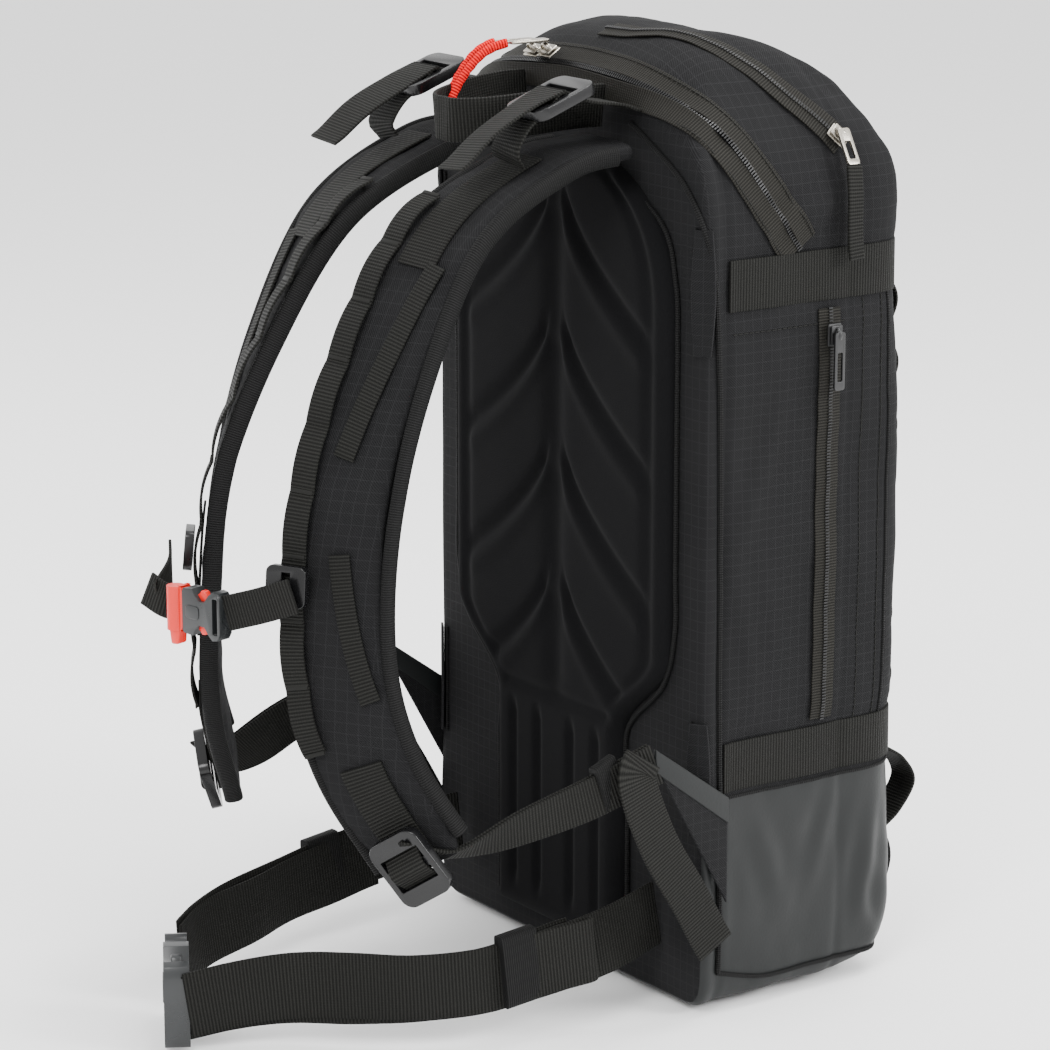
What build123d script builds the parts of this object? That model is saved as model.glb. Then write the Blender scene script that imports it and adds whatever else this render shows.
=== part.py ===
from build123d import *
import math
import os

# Avalanche airbag backpack, in millimetres. +Z is up, -Y is the wearer's side, +X is the wearer's left.
# The origin is the middle of the base, where the bag stands on the floor.

# ---- driving dimensions -------------------------------------------------------------------------
bag_width = 260.0
bag_height = 535.0
back_y = -78.0
front_y = 70.0
wall = 3.0
fold_gap = 1.0
running_gap = 0.6

base_height = 125.0
base_edge_radius = 26.0
front_corner_radius = 36.0
back_corner_radius = 10.0
crown_radius = 110.0

lid_drop = 47.0
lid_shoulder_y = 52.0
zip_y = -16.0
zip_z = 424.0
zip_rise = 112.0
zip_slope_deg = 56.5
zip_meet_x = -22.0
arch_top_radius = 220.0
arch_side_radius = 49.0
arch_clear = 4.0
crown_clear = 1.0
zip_tape_width = 14.0
zip_tape_thick = 1.2

foam_thick = 9.0
foam_half_width = 102.0
foam_low_half_width = 60.0
foam_top_z = 466.0
foam_low_z = 18.0

sheet_thick = 1.5
stay_width = 12.0
stay_thick = 3.0
pouch_depth = 44.0
cylinder_radius = 26.0
cylinder_length = 190.0

band_width = 28.0
band_thick = 2.2
upper_band_z = 408.0
lower_band_z = 141.0

strap_width = 62.0
strap_thick = 13.0
strap_turn_deg = 32.0
rail_width = 14.0
rail_thick = 2.0
adjuster_width = 25.0
webbing_thick = 2.0
lock_width = 34.0
lock_height = 40.0
lock_thick = 6.0

sternum_z = 262.0
sternum_width = 20.0

belt_width = 38.0
belt_thick = 2.6
belt_tilt_deg = 6.5
belt_root_y = -84.0
belt_root_z = 54.7
buckle_height = 50.0
buckle_thick = 14.0
buckle_half = 38.0
buckle_turn_deg = -30.0

haul_width = 25.0
haul_thick = 3.0
haul_half = 36.0
haul_reach = 78.0
haul_z = 496.0

half_width = bag_width / 2
foam_y = back_y - foam_thick

os.makedirs("parts", exist_ok=True)


# ---- helpers ------------------------------------------------------------------------------------
def slope_plane():
    """Plane of the main zip: x runs to the wearer's right, y climbs towards the top of the back."""
    slope = math.radians(zip_slope_deg)
    return Plane(
        origin=(0, zip_y, zip_z),
        x_dir=(-1, 0, 0),
        z_dir=(0, math.sin(slope), math.cos(slope)),
    )


def side_outline(inset):
    """Sketch of the bag seen from the side, drawn in by inset."""
    with BuildSketch(Plane.YZ.offset(-bag_width)) as outline:
        with BuildLine():
            Polyline(
                (back_y, 0),
                (front_y, 0),
                (front_y, zip_z),
                (lid_shoulder_y, bag_height - lid_drop),
                (lid_shoulder_y - 27, bag_height - 11),
                (back_y + 58, bag_height),
                (back_y + 23, bag_height - 3),
                (back_y, bag_height - 23),
                close=True,
            )
        make_face()
        fillet(outline.vertices(), base_edge_radius / 2)
        if inset:
            offset(amount=-inset, kind=Kind.INTERSECTION)
    return outline.sketch


def arch_outline(inset):
    """Sketch of the bag seen square to the zip plane: a three-centred arch on straight sides."""
    arch_half = half_width + arch_clear
    top_centre = zip_rise - arch_top_radius
    reach = (arch_half - arch_side_radius) / (arch_top_radius - arch_side_radius)
    side_x = arch_half - arch_side_radius
    side_y = top_centre + (arch_top_radius - arch_side_radius) * math.sqrt(1 - reach**2)
    joint_x = arch_top_radius * reach
    joint_y = top_centre + arch_top_radius * math.sqrt(1 - reach**2)
    lean = math.atan2(joint_y - side_y, joint_x - side_x) / 2
    mid_x = side_x + arch_side_radius * math.cos(lean)
    mid_y = side_y + arch_side_radius * math.sin(lean)
    low = -900
    with BuildSketch(slope_plane().offset(-bag_height * 2)) as outline:
        with BuildLine():
            ThreePointArc((-joint_x, joint_y), (0, zip_rise), (joint_x, joint_y))
            ThreePointArc((joint_x, joint_y), (mid_x, mid_y), (arch_half, side_y))
            Polyline((arch_half, side_y), (arch_half, low), (-arch_half, low), (-arch_half, side_y))
            ThreePointArc((-arch_half, side_y), (-mid_x, mid_y), (-joint_x, joint_y))
        make_face()
        if inset:
            offset(amount=-inset, kind=Kind.INTERSECTION)
    return outline.sketch


def plan_outline(inset):
    """Sketch of the bag seen from above."""
    with BuildSketch(Plane.XY.offset(-wall * 4)) as outline:
        with BuildLine():
            Polyline(
                (-half_width, back_y),
                (half_width, back_y),
                (half_width, front_y),
                (-half_width, front_y),
                close=True,
            )
        make_face()
        fillet(outline.vertices().group_by(Axis.Y)[-1], front_corner_radius)
        fillet(outline.vertices().group_by(Axis.Y)[0], back_corner_radius)
        if inset:
            offset(amount=-inset, kind=Kind.INTERSECTION)
    return outline.sketch


def front_outline(inset):
    """Sketch of the bag seen from the front, with a crowned top and rounded lower edges."""
    front_half = half_width + crown_clear
    with BuildSketch(Plane.XZ.offset(-bag_width)) as outline:
        with BuildLine():
            Polyline(
                (-front_half, 0),
                (front_half, 0),
                (front_half, bag_height),
                (-front_half, bag_height),
                close=True,
            )
        make_face()
        fillet(outline.vertices().group_by(Axis.Y)[-1], crown_radius)
        fillet(outline.vertices().group_by(Axis.Y)[0], base_edge_radius)
        if inset:
            offset(amount=-inset, kind=Kind.INTERSECTION)
    return outline.sketch


def bag_block(inset):
    """The whole bag as one closed block, its skin drawn in by inset."""
    with BuildPart() as block:
        extrude(side_outline(inset), amount=bag_width * 2)
        extrude(arch_outline(inset), amount=bag_height * 4, mode=Mode.INTERSECT)
        extrude(plan_outline(inset), amount=bag_height + wall * 8, mode=Mode.INTERSECT)
        extrude(front_outline(inset), amount=bag_width * 2, mode=Mode.INTERSECT)
    return block.part


def lid_zone(gap):
    """Everything above the zip plane and the fold line, drawn back by gap."""
    slope = math.radians(zip_slope_deg)
    reach = bag_width
    top_y = zip_y - reach * math.cos(slope)
    top_z = zip_z + reach * math.sin(slope)
    with BuildPart() as zone:
        with BuildSketch(Plane.YZ):
            with BuildLine():
                Polyline(
                    (zip_y, zip_z),
                    (front_y * 3, zip_z),
                    (front_y * 3, top_z),
                    (top_y, top_z),
                    close=True,
                )
            make_face()
            if gap:
                offset(amount=-gap, kind=Kind.INTERSECTION)
        extrude(amount=bag_width, both=True)
    return zone.part


def slab(low, high):
    """A box between two opposite corners."""
    with BuildPart() as box:
        centre = [(a + b) / 2 for a, b in zip(low, high)]
        size = [b - a for a, b in zip(low, high)]
        with Locations(tuple(centre)):
            Box(*size)
    return box.part


def ribbon(points, across_at, width, thick, count):
    """A strip along a smooth line, its width turned by across_at(share of the way)."""
    line = Spline(*points, mode=Mode.PRIVATE)
    with BuildPart() as strip:
        for k in range(count):
            share = k / (count - 1)
            along = line % share
            across = Vector(*across_at(share))
            with BuildSketch(Plane(origin=line @ share, x_dir=across, z_dir=along)):
                Rectangle(width, thick)
        loft(ruled=True)
    return strip.part


def bent_strip(plane, points, bend, thick, width):
    """Webbing that bends only in plane, standing width / 2 to each side of it."""
    with BuildPart() as strip:
        with BuildSketch(plane):
            with BuildLine():
                FilletPolyline(*points, radius=bend)
            trace(line_width=thick)
        extrude(amount=width / 2, both=True)
    return strip.part


def cord_tube(points, diameter):
    """A cord on straight runs joined by the largest arcs that the runs allow."""
    corners = [Vector(*p) for p in points]
    radii = []
    for before, here, after in zip(corners, corners[1:], corners[2:]):
        shorter = min((here - before).length, (after - here).length)
        turn = math.radians((here - before).get_angle(after - here))
        radii.append(0.45 * shorter / math.tan(turn / 2))
    print("cord radii", [round(r, 1) for r in radii])
    with BuildPart() as tube:
        with BuildLine() as route:
            FilletPolyline(*points, radius=radii)
        start = Plane(origin=route.line @ 0, z_dir=route.line % 0)
        with BuildSketch(start):
            Circle(diameter / 2)
        sweep(path=route.line)
    return tube.part


def save(part, name):
    """Label a piece and write its file."""
    part.label = name
    export_step(part, f"parts/{name}.step")


def save_both(part, name):
    """Write a piece and its mirror image as two solids of one node."""
    with BuildPart() as both:
        add(part)
        mirror(about=Plane.YZ)
    save(both.part, name)


def save_pair(part, name):
    """Write a piece for the wearer's left side and its mirror image for the right."""
    save(part, f"{name}_left")
    save(mirror(part, about=Plane.YZ), f"{name}_right")


outer = bag_block(0)
inner = bag_block(wall)
tape_skin = bag_block(-zip_tape_thick)
band_skin = bag_block(-band_thick)
far = 900.0
side_back_y = back_y + 14
side_front_y = front_y - front_corner_radius

# ---- bag shell: five panels and the lid ---------------------------------------------------------
with BuildPart() as shell:
    add(outer)
    add(inner, mode=Mode.SUBTRACT)
with BuildPart() as body_shell:
    add(shell.part)
    add(lid_zone(0), mode=Mode.SUBTRACT)
with BuildPart() as lid_shell:
    add(shell.part)
    add(lid_zone(fold_gap), mode=Mode.INTERSECT)
save(lid_shell.part, "lid_shell")

panel_zones = {
    "base_boot": slab((-far, -far, -far), (far, far, base_height)),
    "back_panel": slab((-far, -far, base_height), (far, side_back_y, far)),
    "front_panel": slab((-far, side_front_y, base_height), (far, far, far)),
    "side_panel_left": slab((0, side_back_y, base_height), (far, side_front_y, far)),
    "side_panel_right": slab((-far, side_back_y, base_height), (0, side_front_y, far)),
}
for panel_name, zone in panel_zones.items():
    with BuildPart() as panel:
        add(body_shell.part)
        add(zone, mode=Mode.INTERSECT)
    save(panel.part, panel_name)

# ---- moulded foam back pad ----------------------------------------------------------------------
with BuildPart() as foam_back_pad:
    with BuildSketch(Plane.XZ.offset(-back_y)):
        with BuildLine():
            Polyline(
                (-foam_low_half_width, foam_low_z),
                (foam_low_half_width, foam_low_z),
                (foam_low_half_width + 4, 150),
                (foam_half_width, 200),
                (foam_half_width, foam_top_z - 60),
                (foam_half_width - 44, foam_top_z),
                (44 - foam_half_width, foam_top_z),
                (-foam_half_width, foam_top_z - 60),
                (-foam_half_width, 200),
                (-foam_low_half_width - 4, 150),
                close=True,
            )
        make_face()
    extrude(amount=foam_thick)
save(foam_back_pad.part, "foam_back_pad")

# ---- stiffening inside the back panel -----------------------------------------------------------
sheet_y = back_y + wall + running_gap
with BuildPart() as frame_sheet:
    add(slab((-92, sheet_y, 24), (92, sheet_y + sheet_thick, 430)))
    fillet(frame_sheet.edges().filter_by(Axis.Y), 18)
save(frame_sheet.part, "frame_sheet")

stay_y = sheet_y + sheet_thick
with BuildPart() as frame_stays:
    for stay_x in (-55, 55):
        add(slab((stay_x - stay_width / 2, stay_y, 40), (stay_x + stay_width / 2, stay_y + stay_thick, 425)))
save(frame_stays.part, "frame_stays")

# ---- airbag system ------------------------------------------------------------------------------
pouch_back = stay_y + stay_thick + running_gap
with BuildPart() as airbag_pouch:
    add(slab((-84, pouch_back, 350), (84, pouch_back + pouch_depth, 440)))
    fillet(airbag_pouch.edges().filter_by(Axis.X), 12)
save(airbag_pouch.part, "airbag_pouch")

cylinder_y = pouch_back + cylinder_radius + 1
cylinder_low = 60.0
with BuildPart() as gas_cylinder:
    with BuildSketch(Plane((-62, cylinder_y, cylinder_low), x_dir=(1, 0, 0), z_dir=(0, 0, 1))):
        Circle(cylinder_radius)
    extrude(amount=cylinder_length)
    fillet(gas_cylinder.edges().group_by(Axis.Z)[-1], 16)
    fillet(gas_cylinder.edges().group_by(Axis.Z)[0], 6)
    head_origin = (-62, cylinder_y, cylinder_low + cylinder_length - 1)
    with BuildSketch(Plane(head_origin, x_dir=(1, 0, 0), z_dir=(0, 0, 1))):
        Circle(9)
    extrude(amount=16)
save(gas_cylinder.part, "gas_cylinder")

neck_top = cylinder_low + cylinder_length + 15
with BuildPart() as inflator_head:
    add(slab((-84, cylinder_y - 20, neck_top), (-40, cylinder_y + 20, neck_top + 42)))
    fillet(inflator_head.edges().filter_by(Axis.Z), 8)
    with BuildSketch(Plane((-62, cylinder_y, neck_top + 42), x_dir=(1, 0, 0), z_dir=(0, 0, 1))):
        Circle(14)
    extrude(amount=350 - neck_top - 42)
save(inflator_head.part, "inflator_head")

with BuildPart() as cylinder_clamps:
    for clamp_z in (90, 200):
        with BuildSketch(Plane((-62, cylinder_y, clamp_z), x_dir=(1, 0, 0), z_dir=(0, 0, 1))):
            Circle(cylinder_radius + 2)
            Circle(cylinder_radius, mode=Mode.SUBTRACT)
        extrude(amount=14)
    add(slab((-200, -200, 0), (200, pouch_back - 0.2, 400)), mode=Mode.SUBTRACT)
save(cylinder_clamps.part, "cylinder_clamps")

# ---- main zip: one tape on the body, one on the lid ---------------------------------------------
with BuildPart() as tape_ring:
    add(tape_skin)
    add(outer, mode=Mode.SUBTRACT)
tape_span = zip_rise * 3
with BuildPart() as body_tape_zone:
    with BuildSketch(slope_plane()):
        Rectangle(bag_width * 2, tape_span, align=(Align.CENTER, Align.MIN))
    extrude(amount=-zip_tape_width)
with BuildPart() as lid_tape_zone:
    with BuildSketch(slope_plane().offset(fold_gap)):
        with Locations((0, fold_gap * 2)):
            Rectangle(bag_width * 2, tape_span, align=(Align.CENTER, Align.MIN))
    extrude(amount=zip_tape_width)
with BuildPart() as main_zip_tape:
    add(tape_ring.part)
    add(body_tape_zone.part, mode=Mode.INTERSECT)
    add(slab((-far, -far, -far), (far, far, zip_z)), mode=Mode.SUBTRACT)
save(main_zip_tape.part, "main_zip_tape")
with BuildPart() as lid_zip_tape:
    add(tape_ring.part)
    add(lid_tape_zone.part, mode=Mode.INTERSECT)
    add(slab((-far, -far, -far), (far, far, zip_z + fold_gap)), mode=Mode.SUBTRACT)
save(lid_zip_tape.part, "lid_zip_tape")

# ---- main zip sliders, pullers and cord pulls ---------------------------------------------------
slider_size = (8.0, 5.0, 12.0)
slider_step = 7.0
slider_radius = arch_top_radius + zip_tape_thick + 0.4
puller_length = 22.0
puller_half_width = 3.5
puller_lift = slider_size[1] + 4.5
pull_cord_diameter = 5.0
pull_cord_drop = [(-1.5, 0), (-12, -2), (-24, -13), (-34, -27), (-40, -43)]
pull_cord_drift = {"left": (0, -3, -5, -6, -5), "right": (0, 1, 2, 3, 4)}


def arch_point(x, lift):
    """Point over the crown of the main zip at this x, lift out of the line that the sliders' feet follow."""
    turn = math.asin(x / arch_top_radius)
    radius = slider_radius + lift
    return -radius * math.sin(turn), zip_rise - arch_top_radius + radius * math.cos(turn)


for side_name, side in (("left", 1), ("right", -1)):
    slider_x = zip_meet_x + side * slider_step
    slider_turn = math.degrees(math.asin(slider_x / arch_top_radius))
    with BuildPart() as main_slider:
        with BuildSketch(slope_plane().offset(-slider_size[2] / 2)):
            with Locations(arch_point(slider_x, slider_size[1] / 2)):
                Rectangle(slider_size[0], slider_size[1], rotation=slider_turn)
        extrude(amount=slider_size[2])
    save(main_slider.part, f"main_slider_{side_name}")

    hinge_point = slope_plane().from_local_coords(arch_point(slider_x, puller_lift) + (0,))
    tab_low = (slider_x - puller_half_width, hinge_point.Y - puller_length, hinge_point.Z - 1)
    tab_high = (slider_x + puller_half_width, hinge_point.Y + 3, hinge_point.Z + 1)
    with BuildPart() as main_puller:
        add(slab(tab_low, tab_high))
        with Locations((slider_x, hinge_point.Y - puller_length + 6, hinge_point.Z)):
            Cylinder(2.2, 6, mode=Mode.SUBTRACT)
    save(main_puller.part, f"main_puller_{side_name}")

    cord_points = []
    for drift, (out, drop) in zip(pull_cord_drift[side_name], pull_cord_drop):
        cord_points.append((slider_x + drift, tab_low[1] + out, hinge_point.Z + drop))
    save(cord_tube(cord_points, pull_cord_diameter), f"pull_cord_{side_name}")

# ---- front pocket zip on the lid ----------------------------------------------------------------
pocket_y = 17.0
pocket_angle = math.radians(30)
pocket_out = Vector(math.cos(pocket_angle), 0, math.sin(pocket_angle))
crown_centre = Vector(half_width + crown_clear - crown_radius, pocket_y, bag_height - crown_radius)
pocket_point = crown_centre + pocket_out * crown_radius
pocket_slider_size = (12.0, 9.0, 5.0)
pocket_tab_size = (18.9, 8.0, 1.8)
pocket_tab_lift = running_gap * 2 + pocket_slider_size[2]


def pocket_plane(lift):
    """Plane over the lid at the pocket slider: x runs down the lid, y towards the front."""
    down = (math.sin(pocket_angle), 0, -math.cos(pocket_angle))
    return Plane(origin=pocket_point + pocket_out * lift, x_dir=down, z_dir=pocket_out)


with BuildPart() as pocket_slider:
    with BuildSketch(pocket_plane(running_gap)):
        Rectangle(pocket_slider_size[0], pocket_slider_size[1])
    extrude(amount=pocket_slider_size[2])
save(pocket_slider.part, "pocket_slider")
with BuildPart() as pocket_puller:
    with BuildSketch(pocket_plane(pocket_tab_lift)):
        with Locations((pocket_tab_size[0] / 2 - pocket_tab_size[2] / 2, 0)):
            Rectangle(pocket_tab_size[0], pocket_tab_size[1])
    extrude(amount=pocket_tab_size[2])
save(pocket_puller.part, "pocket_puller")
pull_gap = 0.6
pull_plane = pocket_plane(pocket_tab_lift + pocket_tab_size[2] / 2)
pull_start = pull_plane.from_local_coords((pocket_tab_size[0] + pull_gap, 0, 0))
pull_x = half_width + band_thick + running_gap + webbing_thick
pull_points = [(pull_start.X, pull_start.Z), (pull_x - 0.6, 452), (pull_x + 0.4, 434), (pull_x, 416)]
with BuildPart() as pocket_pull:
    add(bent_strip(Plane.XZ.offset(-pocket_y), pull_points, 12, webbing_thick, 10))
save(pocket_pull.part, "pocket_pull")

# ---- side zip on the wearer's left --------------------------------------------------------------
side_zip_y = 5.0
side_zip_low = lower_band_z + band_width / 2 + 4
side_zip_high = upper_band_z - band_width / 2 - 4
with BuildPart() as side_zip_tape:
    add(
        slab(
            (half_width, side_zip_y - zip_tape_width / 2, side_zip_low),
            (half_width + zip_tape_thick, side_zip_y + zip_tape_width / 2, side_zip_high),
        )
    )
save(side_zip_tape.part, "side_zip_tape")
side_slider_x = half_width + zip_tape_thick + running_gap
with BuildPart() as side_slider:
    add(
        slab(
            (side_slider_x, side_zip_y - 4, side_zip_high - 20),
            (side_slider_x + 4, side_zip_y + 4, side_zip_high - 8),
        )
    )
save(side_slider.part, "side_slider")
with BuildPart() as side_puller:
    add(
        slab(
            (side_slider_x + 4.6, side_zip_y - 3.5, side_zip_high - 44),
            (side_slider_x + 6.4, side_zip_y + 3.5, side_zip_high - 12),
        )
    )
save(side_puller.part, "side_puller")

# ---- compression bands round the front ----------------------------------------------------------
with BuildPart() as band_ring:
    add(band_skin)
    add(outer, mode=Mode.SUBTRACT)
with BuildPart() as band_zones:
    for band_z in (upper_band_z, lower_band_z):
        add(slab((-far, side_back_y, band_z - band_width / 2), (far, far, band_z + band_width / 2)))
with BuildPart() as compression_bands:
    add(band_ring.part)
    add(band_zones.part, mode=Mode.INTERSECT)
save(compression_bands.part, "compression_bands")

lock_front_y = front_y + band_thick
with BuildPart() as band_locks:
    for lock_x in (-84, 84):
        for lock_z in (upper_band_z, lower_band_z):
            add(slab((lock_x - 12, lock_front_y, lock_z - 15), (lock_x + 12, lock_front_y + 6, lock_z + 15)))
save(band_locks.part, "band_locks")

# ---- daisy chains, axe loop and shaft keeper down the front -------------------------------------
chain_x = 98.0
chain_width = 11.0
chain_high = upper_band_z - band_width / 2 - 1
chain_low = lower_band_z + band_width / 2 + 1
chain_pitches = 6
chain_bulge = 11.0
chain_half = webbing_thick / 2
with BuildPart() as daisy_chain:
    pitch = (chain_high - chain_low) / chain_pitches
    for k in range(chain_pitches):
        low = chain_low + k * pitch
        foot = front_y + chain_half
        points = [
            (foot, low),
            (foot, low + pitch * 0.12),
            (foot + chain_bulge, low + pitch * 0.38),
            (foot + chain_bulge, low + pitch * 0.62),
            (foot, low + pitch * 0.88),
            (foot, low + pitch),
        ]
        add(bent_strip(Plane.YZ.offset(chain_x), points, 3, webbing_thick, chain_width))
save_both(daisy_chain.part, "daisy_chains")


def front_loop(low, high, out, width, thick):
    """A loop of webbing sewn to the front at its two ends."""
    foot = front_y + thick / 2 + 0.05
    points = [
        (foot, high),
        (foot, high - 4),
        (foot + out, high - (high - low) * 0.35),
        (foot + out, low + (high - low) * 0.35),
        (foot, low + 4),
        (foot, low),
    ]
    return bent_strip(Plane.YZ.offset(chain_x), points, 3, thick, width)


axe_low = 66.0
with BuildPart() as axe_loop:
    add(front_loop(axe_low + 12, lower_band_z - band_width / 2 - 1, 20, 20, webbing_thick))
save(axe_loop.part, "axe_loop")
with BuildPart() as shaft_keeper:
    add(front_loop(34, axe_low + 10, 9, 6, webbing_thick))
save(shaft_keeper.part, "shaft_keeper")

# ---- hip wings that the shoulder adjusters are sewn to ------------------------------------------
wing_x = half_width + 0.3
wing_thick = 2.5
wing_tip = (-113.0, 157.0)
wing_tip_half = 6.5
wing_root_top = 127.0
wing_root_foot = 66.0
with BuildPart() as hip_wings:
    with BuildSketch(Plane.YZ.offset(wing_x)):
        with BuildLine():
            Polyline(
                (side_back_y, wing_root_top),
                (wing_tip[0], wing_tip[1] + wing_tip_half),
                (wing_tip[0], wing_tip[1] - wing_tip_half),
                (side_back_y, wing_root_foot),
                close=True,
            )
        make_face()
    extrude(amount=wing_thick)
    mirror(about=Plane.YZ)
save(hip_wings.part, "hip_wings")

tail_x = wing_x + wing_thick + 1.2
with BuildPart() as adjuster_tail:
    points = [(wing_tip[0] - 14, 162), (wing_tip[0] - 8, 135), (wing_tip[0] + 20, 90), (-69, 42)]
    add(bent_strip(Plane.YZ.offset(tail_x), points, 60, adjuster_width, webbing_thick))
save_both(adjuster_tail.part, "adjuster_tails")

# ---- harness ------------------------------------------------------------------------------------
root_y = foam_y - 3.0
root_z = 476.0
strap_points = [
    (50, root_y, root_z),
    (51, -135, 470),
    (54, -196, 437),
    (58, -237, 372),
    (62, -263, 300),
    (66, -270, 225),
    (79, -262, 168),
    (101, -238, 114),
]


def strap_across(share):
    """Direction across the shoulder strap, which turns outwards as it comes down the chest."""
    turn = math.radians(strap_turn_deg) * min(1.0, share / 0.55)
    return (math.cos(turn), math.sin(turn), 0.0)


strap_stations = 18
with BuildPart() as shoulder_strap:
    add(ribbon(strap_points, strap_across, strap_width, strap_thick, strap_stations))
save_pair(shoulder_strap.part, "shoulder_strap")

strap_line = Spline(*strap_points)
rail_from = 0.30
rail_to = 0.80


def rail_frame(share):
    """Plane on the strap's outer face, x across it and y out of it, at a share of its length."""
    across = Vector(*strap_across(share))
    plane = Plane(origin=strap_line @ share, x_dir=across, z_dir=strap_line % share)
    out = plane.y_dir if plane.y_dir.Y < 0 else -plane.y_dir
    return plane, out


def on_strap(share, shift, lift):
    """A point over the strap's outer face: shift across it and lift above its middle."""
    plane, out = rail_frame(share)
    return plane.origin + plane.x_dir * shift + out * lift


rail_shift = -strap_width / 2 + rail_width / 2 + 1
rail_lift = strap_thick / 2 + rail_thick / 2 + 1.2
with BuildPart() as strap_rail:
    rail_count = 12
    for k in range(rail_count):
        share = rail_from + (rail_to - rail_from) * k / (rail_count - 1)
        plane, out = rail_frame(share)
        rail_plane = Plane(origin=on_strap(share, rail_shift, rail_lift), x_dir=plane.x_dir, z_dir=plane.z_dir)
        with BuildSketch(rail_plane):
            Rectangle(rail_width, rail_thick)
    loft(ruled=True)
save_both(strap_rail.part, "strap_rails")

# ---- ladder locks on the strap ends -------------------------------------------------------------
strap_end_plane, strap_end_out = rail_frame(0.97)
lock_origin = on_strap(0.985, 0, strap_thick / 2 + lock_thick / 2 + 3)


def ladder_lock(plane):
    """Ladder lock: a frame with two slots for the webbing and a thumb rim."""
    with BuildPart() as lock:
        with BuildSketch(plane):
            RectangleRounded(lock_width, lock_height, 7)
            with GridLocations(0, 13, 1, 2):
                Rectangle(adjuster_width + 1.5, 7, mode=Mode.SUBTRACT)
        extrude(amount=lock_thick / 2, both=True)
    return lock.part


lock_plane = Plane(origin=lock_origin, x_dir=strap_end_plane.x_dir, z_dir=strap_end_out)
lock_down = lock_plane.y_dir if lock_plane.y_dir.Z < 0 else -lock_plane.y_dir
adjuster_lock = ladder_lock(lock_plane)
save_pair(adjuster_lock, "adjuster_lock")

# ---- shoulder adjuster webbing from the wings to the ladder locks -------------------------------
adjuster_gap = 1.4
adjuster_points = [
    (wing_x - webbing_thick - adjuster_gap, wing_tip[0] + 14, wing_tip[1] - 4),
    (wing_x - 8, -165, 134),
    tuple(lock_origin + lock_down * (lock_height / 2 + 6)),
]


def adjuster_across(share):
    """The webbing stands on edge at the wing and lies across the strap at its lock."""
    lean = math.radians(90) * (1 - share)
    flat = Vector(*strap_across(1.0)) * math.sin(math.radians(90) * share)
    return (flat.X, flat.Y, math.sin(lean))


adjuster_webbing = ribbon(adjuster_points, adjuster_across, adjuster_width - 1, webbing_thick, 9)
save_both(adjuster_webbing, "adjuster_webbings")

# ---- load lifters -------------------------------------------------------------------------------
lifter_x = 60.0
lifter_lock_y = -131.0
lifter_lock_z = 506.0
lifter_plane = Plane(origin=(lifter_x, lifter_lock_y, lifter_lock_z), x_dir=(1, 0, 0), z_dir=(0, -0.35, 0.94))
save_pair(ladder_lock(lifter_plane), "lifter_lock")
with BuildPart() as lifter_anchor:
    add(
        bent_strip(
            Plane.YZ.offset(lifter_x),
            [(back_y - 2.8, 497), (back_y - 14, 500), (lifter_lock_y + 22, lifter_lock_z - 4)],
            20,
            webbing_thick,
            adjuster_width - 1,
        )
    )
save_both(lifter_anchor.part, "lifter_anchors")
with BuildPart() as lifter_webbing:
    add(
        bent_strip(
            Plane.YZ.offset(lifter_x),
            [(lifter_lock_y - 21, lifter_lock_z - 7), (-168, 487), (-178, 470)],
            14,
            webbing_thick,
            adjuster_width - 1,
        )
    )
save_both(lifter_webbing.part, "lifter_webbings")

# ---- haul loop ----------------------------------------------------------------------------------
haul_root_y = back_y - zip_tape_thick - running_gap
with BuildPart() as haul_loop:
    points = [
        (-haul_half, haul_root_y),
        (-haul_half, haul_root_y - haul_reach + 20),
        (-haul_half + 16, haul_root_y - haul_reach),
        (haul_half - 16, haul_root_y - haul_reach),
        (haul_half, haul_root_y - haul_reach + 20),
        (haul_half, haul_root_y),
    ]
    add(bent_strip(Plane.XY.offset(haul_z), points, 14, haul_thick, haul_width))
save(haul_loop.part, "haul_loop")

# ---- sternum strap ------------------------------------------------------------------------------
sternum_share = min((abs((strap_line @ (k / 200)).Z - sternum_z), k / 200) for k in range(200))[1]
clip_gap = 0.8
clip_plane, clip_out = rail_frame(sternum_share)
clip_origin = on_strap(sternum_share, rail_shift, rail_lift)
clip_body = (rail_width + 9, 22.0, 5.0)
clip_frame = Plane(
    origin=clip_origin + clip_out * (rail_thick / 2 + clip_gap + clip_body[2] / 2),
    x_dir=clip_plane.x_dir,
    z_dir=clip_out,
)
with BuildPart() as sternum_clip:
    with BuildSketch(clip_frame):
        RectangleRounded(clip_body[0], clip_body[1], 4)
        Rectangle(5, sternum_width - 5, mode=Mode.SUBTRACT)
    extrude(amount=clip_body[2] / 2, both=True)
save_both(sternum_clip.part, "sternum_clips")

buckle_line_y = -318.0
buckle_line_z = 243.0
sternum_dir = Vector(-0.97, -0.24, 0).normalized()
socket_centre = Vector(8, buckle_line_y + 2, buckle_line_z)
sternum_side = Vector(0, 0, 1)
sternum_face = sternum_dir.cross(sternum_side).normalized()
sternum_face = sternum_face if sternum_face.Y < 0 else -sternum_face


def buckle_plane(centre, along, face):
    """Plane with x along the strap and z out of the buckle's face."""
    return Plane(origin=centre, x_dir=along, z_dir=face)


def make_socket(plane, length, height, thick, prong_height, prong_thick):
    """Socket half of a side-release buckle: a sleeve with side windows and a webbing bar."""
    bore = length * 0.72
    with BuildPart() as socket:
        with BuildSketch(plane):
            RectangleRounded(length, height, height * 0.14)
            with Locations((-length * 0.37, 0)):
                Rectangle(length * 0.1, height * 0.76, mode=Mode.SUBTRACT)
        extrude(amount=thick / 2, both=True)
        with BuildSketch(plane):
            with Locations((length / 2 - bore / 2 + 1, 0)):
                Rectangle(bore + 2, prong_height)
        extrude(amount=prong_thick / 2, both=True, mode=Mode.SUBTRACT)
    return socket.part


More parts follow.
